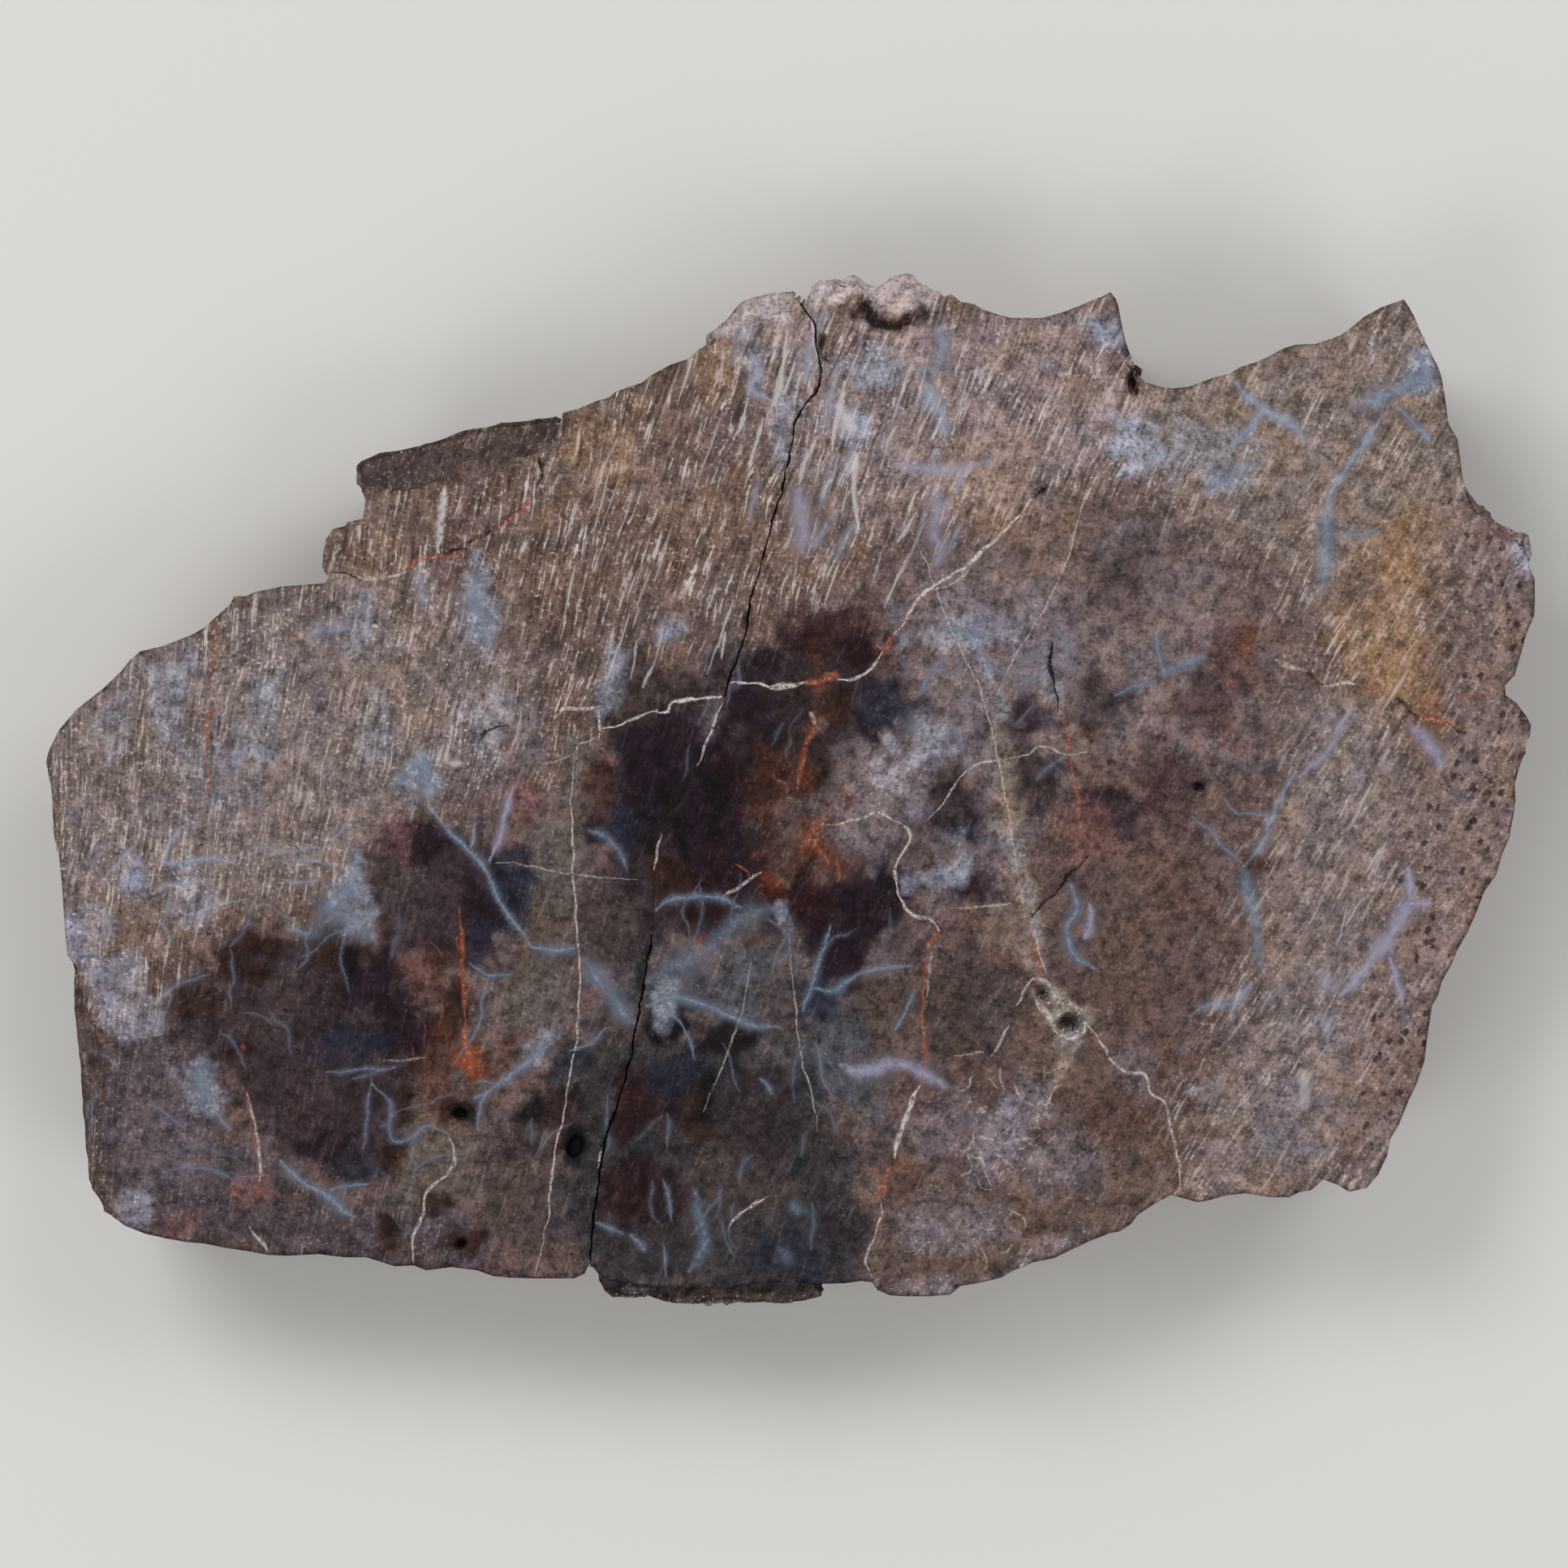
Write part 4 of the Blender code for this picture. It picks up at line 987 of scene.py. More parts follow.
    def areas(self, places: np.ndarray, sway: float = 1.0) -> tuple[np.ndarray, dict[str, np.ndarray]]:
        """The colour and make-up of the bone at each place.

        Args:
            places: Rows of x and y in metres.
            sway: How much more than usual the areas' outlines wander.

        Returns:
            Colours as rows of red, green and blue from 0 to 255, and the amounts of fibre, pores
            and specks.
        """
        pixels = self.photo.pixels(places)
        bent = pixels + np.stack([self.edge_right.at(pixels), self.edge_down.at(pixels)], 1) * sway
        ragged = self.ragged.at(pixels)
        base = Tint.BROWN.value.row
        rows = np.tile(base, (len(places), 1))
        for area in self.patches:
            rise = min(1.0, self.ragged_least + area.softness / self.ragged.size)
            depth = area.depth(bent) + ragged * rise
            share = smooth_step(0.5 + 0.5 * self.tightness * depth / area.softness) * area.strength
            rows += share[:, None] * (area.tint.value.row - rows)
        light = self.blotches.at(pixels) + self.clouds.at(pixels)
        clump = np.clip(1.0 + self.clumps.at(pixels), *self.clump_range)
        colours = rows[:, :3] * np.exp(self.lightness * light)[:, None]
        colours += self.warmth.at(pixels)[:, None] * np.array(self.warm_tilt) * (rows[:, :1] / base[0])
        amounts = {"fibre": rows[:, 3] * clump, "pores": rows[:, 4], "specks": rows[:, 5] * clump}
        return np.clip(colours, *self.colour_range), amounts

    def _offsets(self, places: np.ndarray, line: np.ndarray, widths: np.ndarray) -> np.ndarray:
        """Distances from a tapering line, in its half widths at each point.

        Args:
            places: Where to measure.
            line: The line's points.
            widths: Its half width at each point.

        Returns:
            One distance for each place.
        """
        ends = np.linspace(0.0, 1.0, len(line))
        taper = widths * np.clip(np.minimum(ends, 1 - ends) / self.taper_share, self.taper_least, 1.0)
        best = np.full(len(places), np.inf)
        for index in range(len(line) - 1):
            along, away = to_leg(places, line[index], line[index + 1] - line[index])
            width = taper[index] + along * (taper[index + 1] - taper[index])
            np.minimum(best, away / width, out=best)
        return best


class Value:
    """A number in a node tree: one socket, on which Python's operators add Math nodes."""

    def __init__(self, graph: "Graph", socket: Any) -> None:
        """Keeps the tree that the socket is in."""
        self.graph = graph
        self.socket = socket

    def _join(self, operation: str, *terms: Any) -> "Value":
        """One Math node on this value and others."""
        sockets = {index: term for index, term in enumerate(terms)}
        return self.graph.node("ShaderNodeMath", {"operation": operation}, sockets)

    def __add__(self, other: Any) -> "Value":
        """Sum."""
        return self._join("ADD", self, other)

    def __radd__(self, other: Any) -> "Value":
        """Sum, the number first."""
        return self._join("ADD", other, self)

    def __sub__(self, other: Any) -> "Value":
        """Difference."""
        return self._join("SUBTRACT", self, other)

    def __rsub__(self, other: Any) -> "Value":
        """Difference, the number first."""
        return self._join("SUBTRACT", other, self)

    def __mul__(self, other: Any) -> "Value":
        """Product."""
        return self._join("MULTIPLY", self, other)

    def __rmul__(self, other: Any) -> "Value":
        """Product, the number first."""
        return self._join("MULTIPLY", other, self)

    def __pow__(self, other: Any) -> "Value":
        """Power."""
        return self._join("POWER", self, other)

    def swing(self, height: float) -> "Value":
        """A noise brought down to 0 in its middle, times a height."""
        return (self - 0.5) * height

    def above(self, low: float, high: float) -> "Value":
        """0 below low and 1 over high, eased between; turned round where low is over high.

        Args:
            low: The value that gives 0.
            high: The value that gives 1.

        Returns:
            The eased share.
        """
        settings = {"interpolation_type": "SMOOTHSTEP"}
        ends = {"Value": self, 1: low, 2: high, 3: 0.0, 4: 1.0}
        if low > high:
            ends = {"Value": self, 1: high, 2: low, 3: 1.0, 4: 0.0}
        return self.graph.node("ShaderNodeMapRange", settings, ends)


def to_linear(colours: Any) -> np.ndarray:
    """Colours of 0 to 255, as seen on a screen, in the renderer's own scale."""
    shares = np.asarray(colours, float) / 255.0
    return np.where(shares <= 0.04045, shares / 12.92, ((shares + 0.055) / 1.055) ** 2.4)


def linear(colour: Colour) -> tuple[float, float, float, float]:
    """One colour in the renderer's scale, with its alpha."""
    red, green, blue = (float(part) for part in to_linear(colour))
    return red, green, blue, 1.0


class Graph:
    """A tree of nodes built by expressions."""

    def __init__(self, tree: bpy.types.NodeTree) -> None:
        """Keeps the tree."""
        self.tree = tree

    def node(self, kind: str, settings: dict[str, Any], sockets: dict[Any, Any], out: Any = 0) -> Value:
        """Adds a node.

        Args:
            kind: The node's type.
            settings: Its properties, set first.
            sockets: Values or links for its inputs, by name or number.
            out: The output wanted, by name or number.

        Returns:
            The output as a value.
        """
        made = self.tree.nodes.new(kind)
        for name, setting in settings.items():
            setattr(made, name, setting)
        for key, term in sockets.items():
            self.feed(made.inputs[key], term)
        return Value(self, made.outputs[out])

    def feed(self, socket: Any, term: Any) -> None:
        """Links a value to a socket, or sets a constant on it.

        Args:
            socket: The input.
            term: A value, or a constant of the input's kind.
        """
        if isinstance(term, Value):
            self.tree.links.new(term.socket, socket)
        else:
            socket.default_value = term


@dataclass(frozen=True)
class Lumps:
    """A noise of the finish: its lumps to a unit, its finer layers and how rough those are."""

    scale: float
    detail: float
    rough: float


class Shader(Graph):
    """One material's nodes."""

    def __init__(self, name: str) -> None:
        """An empty material with its Principled BSDF.

        Args:
            name: The material's name.
        """
        self.material = bpy.data.materials.new(name)
        self.material.use_nodes = True
        super().__init__(self.material.node_tree)
        self.surface = self.tree.nodes["Principled BSDF"]

    def attribute(self, name: str, out: str = "Fac") -> Value:
        """A number, or a colour, stored on the mesh."""
        return self.node("ShaderNodeAttribute", {"attribute_name": name}, {}, out)

    def millimetres(self) -> Value:
        """The place on the object, in millimetres.

        Returns:
            The place, as a vector.
        """
        place = self.node("ShaderNodeTexCoord", {}, {}, "Object")
        settings = {"operation": "SCALE"}
        return self.node("ShaderNodeVectorMath", settings, {0: place, "Scale": 1.0 / MM})

    def parts(self, vector: Value) -> tuple[Value, Value, Value]:
        """The three coordinates of a vector.

        Args:
            vector: The vector.

        Returns:
            Its x, y and z.
        """
        split = self.tree.nodes.new("ShaderNodeSeparateXYZ")
        self.feed(split.inputs[0], vector)
        return tuple(Value(self, output) for output in split.outputs)

    def stretched(self, parts: tuple[Value, Value, Value], scales: Triple) -> Value:
        """A vector of three values, each times its own scale."""
        sockets = {index: part * scale for index, (part, scale) in enumerate(zip(parts, scales))}
        return self.node("ShaderNodeCombineXYZ", {}, sockets)

    def noise(self, vector: Value, lumps: Lumps) -> Value:
        """Noise of about 0.5."""
        sockets = {"Vector": vector, "Scale": lumps.scale, "Detail": lumps.detail, "Roughness": lumps.rough}
        return self.node("ShaderNodeTexNoise", {"noise_dimensions": "3D"}, sockets)

    def cells(self, vector: Value) -> Value:
        """Distance to the nearest of points scattered one to a unit."""
        return self.node("ShaderNodeTexVoronoi", {}, {"Vector": vector, "Scale": 1.0}, "Distance")

    def mix(self, share: Any, first: Any, second: Any) -> Value:
        """The first colour, with a share of the second."""
        terms = {0: share, 6: self._tint(first), 7: self._tint(second)}
        return self.node("ShaderNodeMix", {"data_type": "RGBA"}, terms, 2)

    def multiply(self, colour: Any, amount: Value) -> Value:
        """A colour made lighter or darker by a number."""
        terms = {0: colour, "Scale": amount}
        return self.node("ShaderNodeVectorMath", {"operation": "SCALE"}, terms)

    @staticmethod
    def _tint(colour: Any) -> Any:
        """A palette colour in the renderer's scale; a socket stays as it is."""
        return colour if isinstance(colour, Value) else linear(colour)


@dataclass(frozen=True)
class Band:
    """Where something comes in: none of it at one value, and its full share at another."""

    none: float
    full: float
    share: float = 1.0

    def of(self, value: Value) -> Value:
        """Its share at a value."""
        return value.above(self.none, self.full) * self.share

    def left(self, value: Value) -> Value:
        """What is left where it is missing: 1 less its share, up to 1."""
        return 1.0 - self.share + self.of(value)


@dataclass(frozen=True)
class Patterns:
    """The noises, and the amounts stored on the mesh, that the colours are mixed by."""

    cloud: Value
    fine: Value
    grain: Value
    pits: Value
    fibre: Value
    wall: Value


@dataclass(frozen=True)
class BoneFinish:
    """Sawn agatised bone: fibrous brown outside, dark agate within, veined and stained."""

    pale_fibre: Colour = (196, 188, 184)
    dark_fibre: Colour = (58, 44, 36)
    speck: Colour = (206, 200, 198)
    # Painted shade inside the open pores and the fine hollows of the relief.
    pore_shade: Colour = (36, 27, 24)
    iron: Colour = (140, 72, 48)
    rust_pale: Colour = (186, 146, 130)
    blue: Colour = (140, 148, 166)
    blue_deep: Colour = (88, 100, 116)
    lilac: Colour = (140, 137, 160)
    vein_heart: Colour = (176, 184, 204)
    seam: Colour = (210, 200, 196)
    seam_dull: Colour = (140, 126, 120)
    streak: Colour = (196, 190, 190)
    # Near-black painted shade inside the open cracks and holes.
    hollow_shade_and_fill: Colour = (16, 11, 10)
    hollow_brown: Colour = (100, 76, 52)
    granule: Colour = (176, 164, 158)
    crust_pale: Colour = (140, 128, 118)
    crust_brown: Colour = (92, 76, 68)
    crust_dark: Colour = (48, 38, 33)
    fan_centre: Pixel = (-250.0, 4200.0)
    fan_radius: float = 110.0
    fan_sway: float = 0.7
    sway_lumps: Lumps = Lumps(0.25, 1.0, 0.5)
    cloud_lumps: Lumps = Lumps(1.7, 3.0, 0.65)
    fine_lumps: Lumps = Lumps(6.5, 1.0, 0.7)
    canal_lumps: Lumps = Lumps(1.0, 2.0, 0.6)
    canal_scales: Triple = (7.5, 0.62, 2.0)
    pore_scales: Triple = (2.1, 1.3, 2.0)
    pore_fray: float = 0.3
    pore_edge: Band = Band(0.3, 0.16)
    pore_share: float = 0.8
    cloud_mottle: float = 0.8
    fine_mottle: float = 1.2
    canal_mottle: Pair = (0.7, 0.3)
    mottle_steps: tuple[Band, Band] = (Band(0.47, 0.55), Band(0.38, 0.46))
    step_height: Pair = (0.22, 0.16)
    tone: Band = Band(-1.35, 1.35, 1.9)
    canal_cloud: float = 0.3
    canal_fray: float = 0.12
    dark_canal: Band = Band(0.46, 0.36, 0.5)
    pale_canal: Band = Band(0.57, 0.69, 0.66)
    fine_hollow: Band = Band(0.36, 0.28, 0.35)
    speck_cloud: float = 0.25
    speck_edge: Band = Band(0.655, 0.72, 0.85)
    vein_fray: Pair = (1.8, 2.6)
    thin_fray: Pair = (2.0, 1.2)
    broken_fine: Band = Band(0.3, 0.5, 0.35)
    broken_cloud: Band = Band(0.38, 0.5, 0.5)
    patchy_cloud: Band = Band(0.3, 0.56, 0.6)
    blue_cloud: float = 1.6
    blue_edge: Band = Band(0.1, 0.9)
    seam_edge: Band = Band(0.34, 0.62)
    rust_edge: Band = Band(0.5, 0.68, 0.7)
    hollow_edge: Band = Band(0.42, 0.56)
    streak_cover: float = 0.85
    vein_side: Band = Band(2.0, 0.1)
    streak_side: Band = Band(1.4, 0.3)
    rust_side: Band = Band(1.6, 0.3)
    seam_side: Band = Band(1.2, 0.45)
    crack_side: Band = Band(1.15, 0.5)
    heart_side: Band = Band(0.7, -0.4, 0.55)
    halo_side: Band = Band(3.0, 0.8, 0.34)
    crust_lumps: Lumps = Lumps(0.3, 3.0, 0.6)
    crust_lean: Pair = (1.2, 0.7)
    pale_crust: Band = Band(-0.04, 0.25, 0.85)
    dark_crust: Band = Band(0.0, -0.26, 0.8)
    crust_grain: Pair = (0.9, 1.1)
    crust_share: float = 0.85
    granule_edge: Band = Band(0.3, 0.6)
    roughness: float = 0.5
    cloud_gloss: float = 0.3
    wall_gloss: float = 0.4
    fibre_gloss: float = 0.08
    specular: float = 0.1
    fibre_relief: float = 0.8
    wall_relief: float = 3.0
    face_relief: float = 0.5
    pit_relief: float = 1.2
    relief_strength: float = 0.6
    relief: float = 0.06 * MM

    def material(self, photo: PhotoFrame) -> bpy.types.Material:
        """Builds the material.

        Args:
            photo: Where a pixel lies on the slab.

        Returns:
            The finished material.
        """
        shader = Shader("agatised_bone")
        place = shader.millimetres()
        along_bone = self._fan(shader, place, photo)
        fine = shader.noise(place, self.fine_lumps)
        pits = shader.cells(shader.stretched(along_bone, self.pore_scales)) + fine.swing(self.pore_fray)
        seen = Patterns(
            cloud=shader.noise(place, self.cloud_lumps),
            fine=fine,
            grain=shader.noise(shader.stretched(along_bone, self.canal_scales), self.canal_lumps),
            pits=self.pore_edge.of(pits) * shader.attribute("pores"),
            fibre=shader.attribute("fibre"),
            wall=shader.attribute("wall"),
        )
        colour = self._ground(shader, seen)
        colour = self._wall(shader, seen, colour)
        colour = self._lines(shader, seen, colour)
        surface = shader.surface
        shader.feed(surface.inputs["Base Color"], colour)
        gloss = seen.cloud.swing(self.cloud_gloss) + seen.wall * self.wall_gloss
        gloss += seen.fibre * self.fibre_gloss
        shader.feed(surface.inputs["Roughness"], self.roughness + gloss)
        surface.inputs["Specular IOR Level"].default_value = self.specular
        shader.feed(surface.inputs["Normal"], self._relief(shader, seen))
        return shader.material

    def _relief(self, shader: Shader, seen: Patterns) -> Value:
        """The fine relief of the canals, the pores and the rough walls.

        Args:
            shader: The material's nodes.
            seen: The patterns.

        Returns:
            The bumped normal.
        """
        height = seen.grain * (seen.fibre * self.fibre_relief + seen.wall * self.wall_relief)
        height += seen.cloud * (seen.wall * self.wall_relief + self.face_relief)
        height += self.face_relief * seen.fine - self.pit_relief * seen.pits
        sockets = {"Strength": self.relief_strength, "Distance": self.relief, "Height": height}
        return shader.node("ShaderNodeBump", {}, sockets)

    def _fan(self, shader: Shader, place: Value, photo: PhotoFrame) -> tuple[Value, Value, Value]:
        """Places in the bone's grain, in millimetres: across the canals, along them and through.

        Args:
            shader: The material's nodes.
            place: The place in millimetres.
            photo: Where a pixel lies on the slab.

        Returns:
            The three coordinates.
        """
        x, y, z = shader.parts(place)
        centre = photo.place([self.fan_centre])[0] / MM
        sway = shader.noise(place, self.sway_lumps).swing(self.fan_sway)
        right, up = x - float(centre[0]), y - float(centre[1])
        turn = shader.node("ShaderNodeMath", {"operation": "ARCTAN2"}, {0: right, 1: up})
        return turn * self.fan_radius + sway, (right * right + up * up) ** 0.5, z

    def _ground(self, shader: Shader, seen: Patterns) -> Value:
        """The mottled bone with its canals and pale specks, and painted shade in its open pores and fine
        hollows.

        Args:
            shader: The material's nodes.
            seen: The patterns.

        Returns:
            The bone's colour.
        """
        cloud, fine, grain, fibre = seen.cloud, seen.fine, seen.grain, seen.fibre
        mottle = cloud.swing(self.cloud_mottle) + fine.swing(self.fine_mottle)
        mottle += (grain - 0.5) * (fibre * self.canal_mottle[0] + self.canal_mottle[1])
        steps = [step.of(cloud) for step in self.mottle_steps]
        mottle += (steps[0] + steps[1] - 1.0) * (self.step_height[0] - self.step_height[1] * fibre)
        colour = shader.multiply(shader.attribute("ground", "Color"), self.tone.of(mottle))
        lean = grain + cloud.swing(self.canal_cloud) + fine.swing(self.canal_fray)
        colour = shader.mix(self.dark_canal.of(lean) * fibre, colour, self.dark_fibre)
        colour = shader.mix(self.pale_canal.of(lean) * fibre, colour, self.pale_fibre)
        # Painted shade in the fine hollows, where the relief sinks.
        colour = shader.mix(self.fine_hollow.of(fine), colour, self.pore_shade)
        specks = self.speck_edge.of(fine + cloud.swing(self.speck_cloud)) * shader.attribute("specks")
        colour = shader.mix(specks, colour, self.speck)
        # Painted shade in the open pores.
        return shader.mix(seen.pits * self.pore_share, colour, self.pore_shade)

    def _lines(self, shader: Shader, seen: Patterns, colour: Value) -> Value:
        """Veins, seams, rusty cracks and open cracks, one over another; the open cracks and holes get painted
        shade, with brown fill where the bone is fibrous.

        Args:
            shader: The material's nodes.
            seen: The patterns.
            colour: The bone's colour.

        Returns:
            The colour with the lines on it.
        """
        cloud, fine = seen.cloud, seen.fine
        frayed = fine.swing(self.vein_fray[0]) + cloud.swing(self.vein_fray[1])
        thin = fine.swing(self.thin_fray[0]) + cloud.swing(self.thin_fray[1])
        broken = self.broken_fine.left(fine) * self.broken_cloud.left(cloud)
        patchy = self.patchy_cloud.left(cloud)
        pale = self.blue_edge.of(seen.fibre + cloud.swing(self.blue_cloud))
        blue = shader.mix(pale, self.blue_deep, self.blue)
        seam = shader.mix(self.seam_edge.of(fine), self.seam_dull, self.seam)
        rust = shader.mix(self.rust_edge.of(fine), self.iron, self.rust_pale)
        # Open cracks and holes: near-black painted shade, with brown fill mixed in where the bone is fibrous.
        hollow_shade_and_fill = shader.mix(self.hollow_edge.of(cloud) * seen.fibre, self.hollow_shade_and_fill, self.hollow_brown)
        layers = (
            (Mark.BLUE, blue, frayed, self.vein_side, patchy),
            (Mark.LILAC, self.lilac, frayed, self.vein_side, patchy),
            (Mark.STREAK, self.streak, thin, self.streak_side, self.streak_cover),
            (Mark.RUST, rust, frayed, self.rust_side, broken),
            (Mark.SEAM, seam, thin, self.seam_side, broken),
            (Mark.OPEN, hollow_shade_and_fill, thin, self.crack_side, 1.0),
        )
        for mark, paint, fray, side, cover in layers:
            off = shader.attribute(f"{mark.value}_off") + fray
            ink = shader.attribute(f"{mark.value}_ink") * cover
            colour = shader.mix(side.of(off) * ink, colour, paint)
            if mark in (Mark.BLUE, Mark.LILAC):
                colour = shader.mix(self.heart_side.of(off) * ink, colour, self.vein_heart)
                colour = shader.mix(self.halo_side.of(off + frayed) * ink, colour, paint)
        return colour

    def _wall(self, shader: Shader, seen: Patterns, colour: Value) -> Value:
        """The rough outside of the bone, with its pale chips and dark hollows.

        Args:
            shader: The material's nodes.
            seen: The patterns.
            colour: The bone's colour.

        Returns:
            The colour, changed on the walls.
        """
        broad = shader.noise(shader.millimetres(), self.crust_lumps)
        lean = broad.swing(self.crust_lean[0]) + seen.cloud.swing(self.crust_lean[1])
        crust = shader.mix(self.pale_crust.of(lean), self.crust_brown, self.crust_pale)
        crust = shader.mix(self.dark_crust.of(lean), crust, self.crust_dark)
        crust = shader.multiply(crust, seen.fine * self.crust_grain[0] + seen.grain * self.crust_grain[1])
        colour = shader.mix(seen.wall * self.crust_share, colour, crust)
        return shader.mix(shader.attribute("granule") * self.granule_edge.of(seen.fine), colour, self.granule)


@dataclass
class ScuteSlab:
    """The slab: its sawn face, rough walls and sawn back, as one mesh."""

    photo: PhotoFrame
    markings: Markings
    finish: BoneFinish = field(default_factory=BoneFinish)
    face_step: float = 0.28 * MM
    back_step: float = 0.85 * MM
    wall_step: float = 0.42 * MM
    row_gap: float = 0.07 * MM
    crack_depth: float = 0.22 * MM
    crack_side: float = 1.25
    seam_depth: float = 0.02 * MM
    seam_side: float = 1.2
    face_grain: Unevenness = Unevenness(0.9 * MM, 0.5, 61.0)
    face_grain_depth: float = 0.02 * MM
    wall_splits: int = 4
    wall_push: float = 0.52 * MM
    wall_lumps: float = 0.6 / MM
    wall_layers: float = 4.0
    wall_rough: float = 0.62
    wall_seed: float = 3.0
    wall_fade: float = 2.4 * MM
    wall_start: float = 0.25
    grains: float = 30.0 / MM ** 2
    grain_radius: float = 0.09 * MM
    grain_sizes: Pair = (0.4, 1.0)
    grain_seeds: tuple[int, int, int] = (4, 5, 6)
    grain_reach: float = 0.8 * MM
    grain_top: float = 0.1 * MM
    grain_start: float = 0.2 * MM
    grain_specks: float = 0.35
    grain_gain: float = 2.0
    crack_splits: int = 3
    crack_step: float = 0.12 * MM
    crack_reach: float = 0.2 * MM
    crack_right: Unevenness = Unevenness(0.7 * MM, 0.09 * MM, 3.0)
    crack_up: Unevenness = Unevenness(0.7 * MM, 0.09 * MM, 9.0)
    crack_close: float = 0.35
    back_widest: float = 4.0
    back_sway: float = 3.0
    back_shade: float = 0.9
    smooth_angle: float = 38.0

    def build(self) -> bpy.types.Object:
        """Makes the finished mesh that stands for the slab's solid.

        Returns:
            The slab's object.
        """
        shape = self._walls()
        top = max(vert.co.z for vert in shape.verts)
        wall_verts = set(shape.verts)
        rim = {vert for vert in shape.verts if abs(vert.co.z - top) < FLAT_TOLERANCE}
        foot = {vert for vert in shape.verts if abs(vert.co.z) < FLAT_TOLERANCE}
        face = self._fill(shape, top, self.face_step, self.markings.stroke_rows(), False)
        self._fill(shape, 0.0, self.back_step, np.zeros((0, 2)), True)
        shape.verts.index_update()
        mesh = bpy.data.meshes.new(SLAB_NODE)
        flags = np.array([vert in wall_verts for vert in shape.verts], float)
        edge = np.array([vert in rim or vert in foot for vert in shape.verts])
        on_face = np.array([vert in face or vert in rim for vert in shape.verts])
        shape.to_mesh(mesh)
        shape.free()
        self._store(mesh, flags, edge, on_face)
        slab = bpy.data.objects.new("agatised_slab", mesh)
        bpy.context.scene.collection.objects.link(slab)
        return slab

    def _walls(self) -> bmesh.types.BMesh:
        """The solid without its flat faces, its long edges split.

        Returns:
            The walls, open above and below.
        """
        shape = bmesh.new()
        shape.from_mesh(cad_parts[SLAB_NODE].data)
        bmesh.ops.remove_doubles(shape, verts=shape.verts, dist=WELD)
        top = max(vert.co.z for vert in shape.verts)
        flat = [
            side for side in shape.faces
            if all(abs(vert.co.z - top) < FLAT_TOLERANCE for vert in side.verts)
            or all(abs(vert.co.z) < FLAT_TOLERANCE for vert in side.verts)
        ]
        bmesh.ops.delete(shape, geom=flat, context="FACES_ONLY")
        loose = [edge for edge in shape.edges if not edge.link_faces]
        bmesh.ops.delete(shape, geom=loose, context="EDGES")
        for _ in range(self.wall_splits):
            self._split(shape, [edge for edge in shape.edges if edge.calc_length() > self.wall_step])
        self._jag(shape)
        return shape

    @staticmethod
    def _split(shape: bmesh.types.BMesh, edges: list[bmesh.types.BMEdge]) -> None:
        """Cuts edges in two, and leaves triangles only."""
        bmesh.ops.subdivide_edges(shape, edges=edges, cuts=1)
        bmesh.ops.triangulate(shape, faces=shape.faces, quad_method="SHORT_EDGE")

    def _jag(self, shape: bmesh.types.BMesh) -> None:
        """Makes the smooth walls of the main crack jagged.

        Args:
            shape: The walls, changed in place.
        """
        for _ in range(self.crack_splits):
            near = self._near_crack(shape)
            self._split(shape, [
                edge for edge in shape.edges
                if edge.calc_length() > self.crack_step and all(near[vert.index] for vert in edge.verts)
            ])
        near = self._near_crack(shape)
        verts = [vert for vert in shape.verts if near[vert.index]]
        places = np.array([vert.co.xy for vert in verts])
        lines = np.vstack([catmull(self.photo.place(stroke.points), self.row_gap) for stroke in MAIN_CRACK])
        nearest = np.array([lines[np.argmin(np.hypot(*(lines - place).T))] for place in places])
        shift = np.array([self.crack_right.at(places), self.crack_up.at(places)])
        shift += (nearest - places).T * self.crack_close
        for vert, right, up in zip(verts, *shift):
            vert.co.x += right
            vert.co.y += up

    def _near_crack(self, shape: bmesh.types.BMesh) -> np.ndarray:
        """Which corners are on the open crack's own walls.

        Args:
            shape: The walls.

        Returns:
            One yes or no for each corner.
        """
        shape.verts.index_update()
        places = np.array([vert.co.xy for vert in shape.verts])
        away = np.full(len(places), np.inf)
        for stroke in MAIN_CRACK:
            np.minimum(away, self.markings.away(places, stroke), out=away)
        return away < self.crack_reach

    def _fill(self, shape: bmesh.types.BMesh, level: float, step: float, rows: np.ndarray, down: bool) -> set:
        """Fills the walls' open edge at a height with fine triangles.

        Args:
            shape: The walls, which get the new faces.
            level: The height of the sawn face.
            step: The spacing of its points.
            rows: Extra places along the thin lines.
            down: Whether the face looks down.

        Returns:
            The new corners inside the face.
        """
        border = [
            edge for edge in shape.edges
            if edge.is_boundary and all(abs(vert.co.z - level) < 2 * FLAT_TOLERANCE for vert in edge.verts)
        ]
        rim = list({vert for edge in border for vert in edge.verts})
        number = {vert: index for index, vert in enumerate(rim)}
        ends = np.array([[number[vert] for vert in edge.verts] for edge in border])
        around = np.array([vert.co.xy for vert in rim])
        inner = self._inner_points(around, ends, step, rows)
        points = [Vector(place) for place in np.vstack([around, inner])]
        made = geometry.delaunay_2d_cdt(points, [tuple(pair) for pair in ends.tolist()], [], 0, WELD)
        verts, _, faces, origins = made[:4]
        corners = []
        fresh = set()
        for place, origin in zip(verts, origins):
            first = next((index for index in origin if index < len(rim)), None)
            if first is None:
                vert = shape.verts.new((place.x, place.y, level))
                fresh.add(vert)
            else:
                vert = rim[first]
            corners.append(vert)
        middles = np.array([sum((verts[index] for index in side), Vector((0, 0))) / 3 for side in faces])
        bounded = np.array([all(corners[index] in number for index in side) for side in faces])
        keep = np.ones(len(faces), bool)
        keep[bounded] = self._inside(middles[bounded], around[ends])
        for side in np.flatnonzero(keep):
            ring = [corners[index] for index in faces[side]]
            if len(set(ring)) == 3:
                shape.faces.new(list(reversed(ring)) if down else ring)
        return fresh

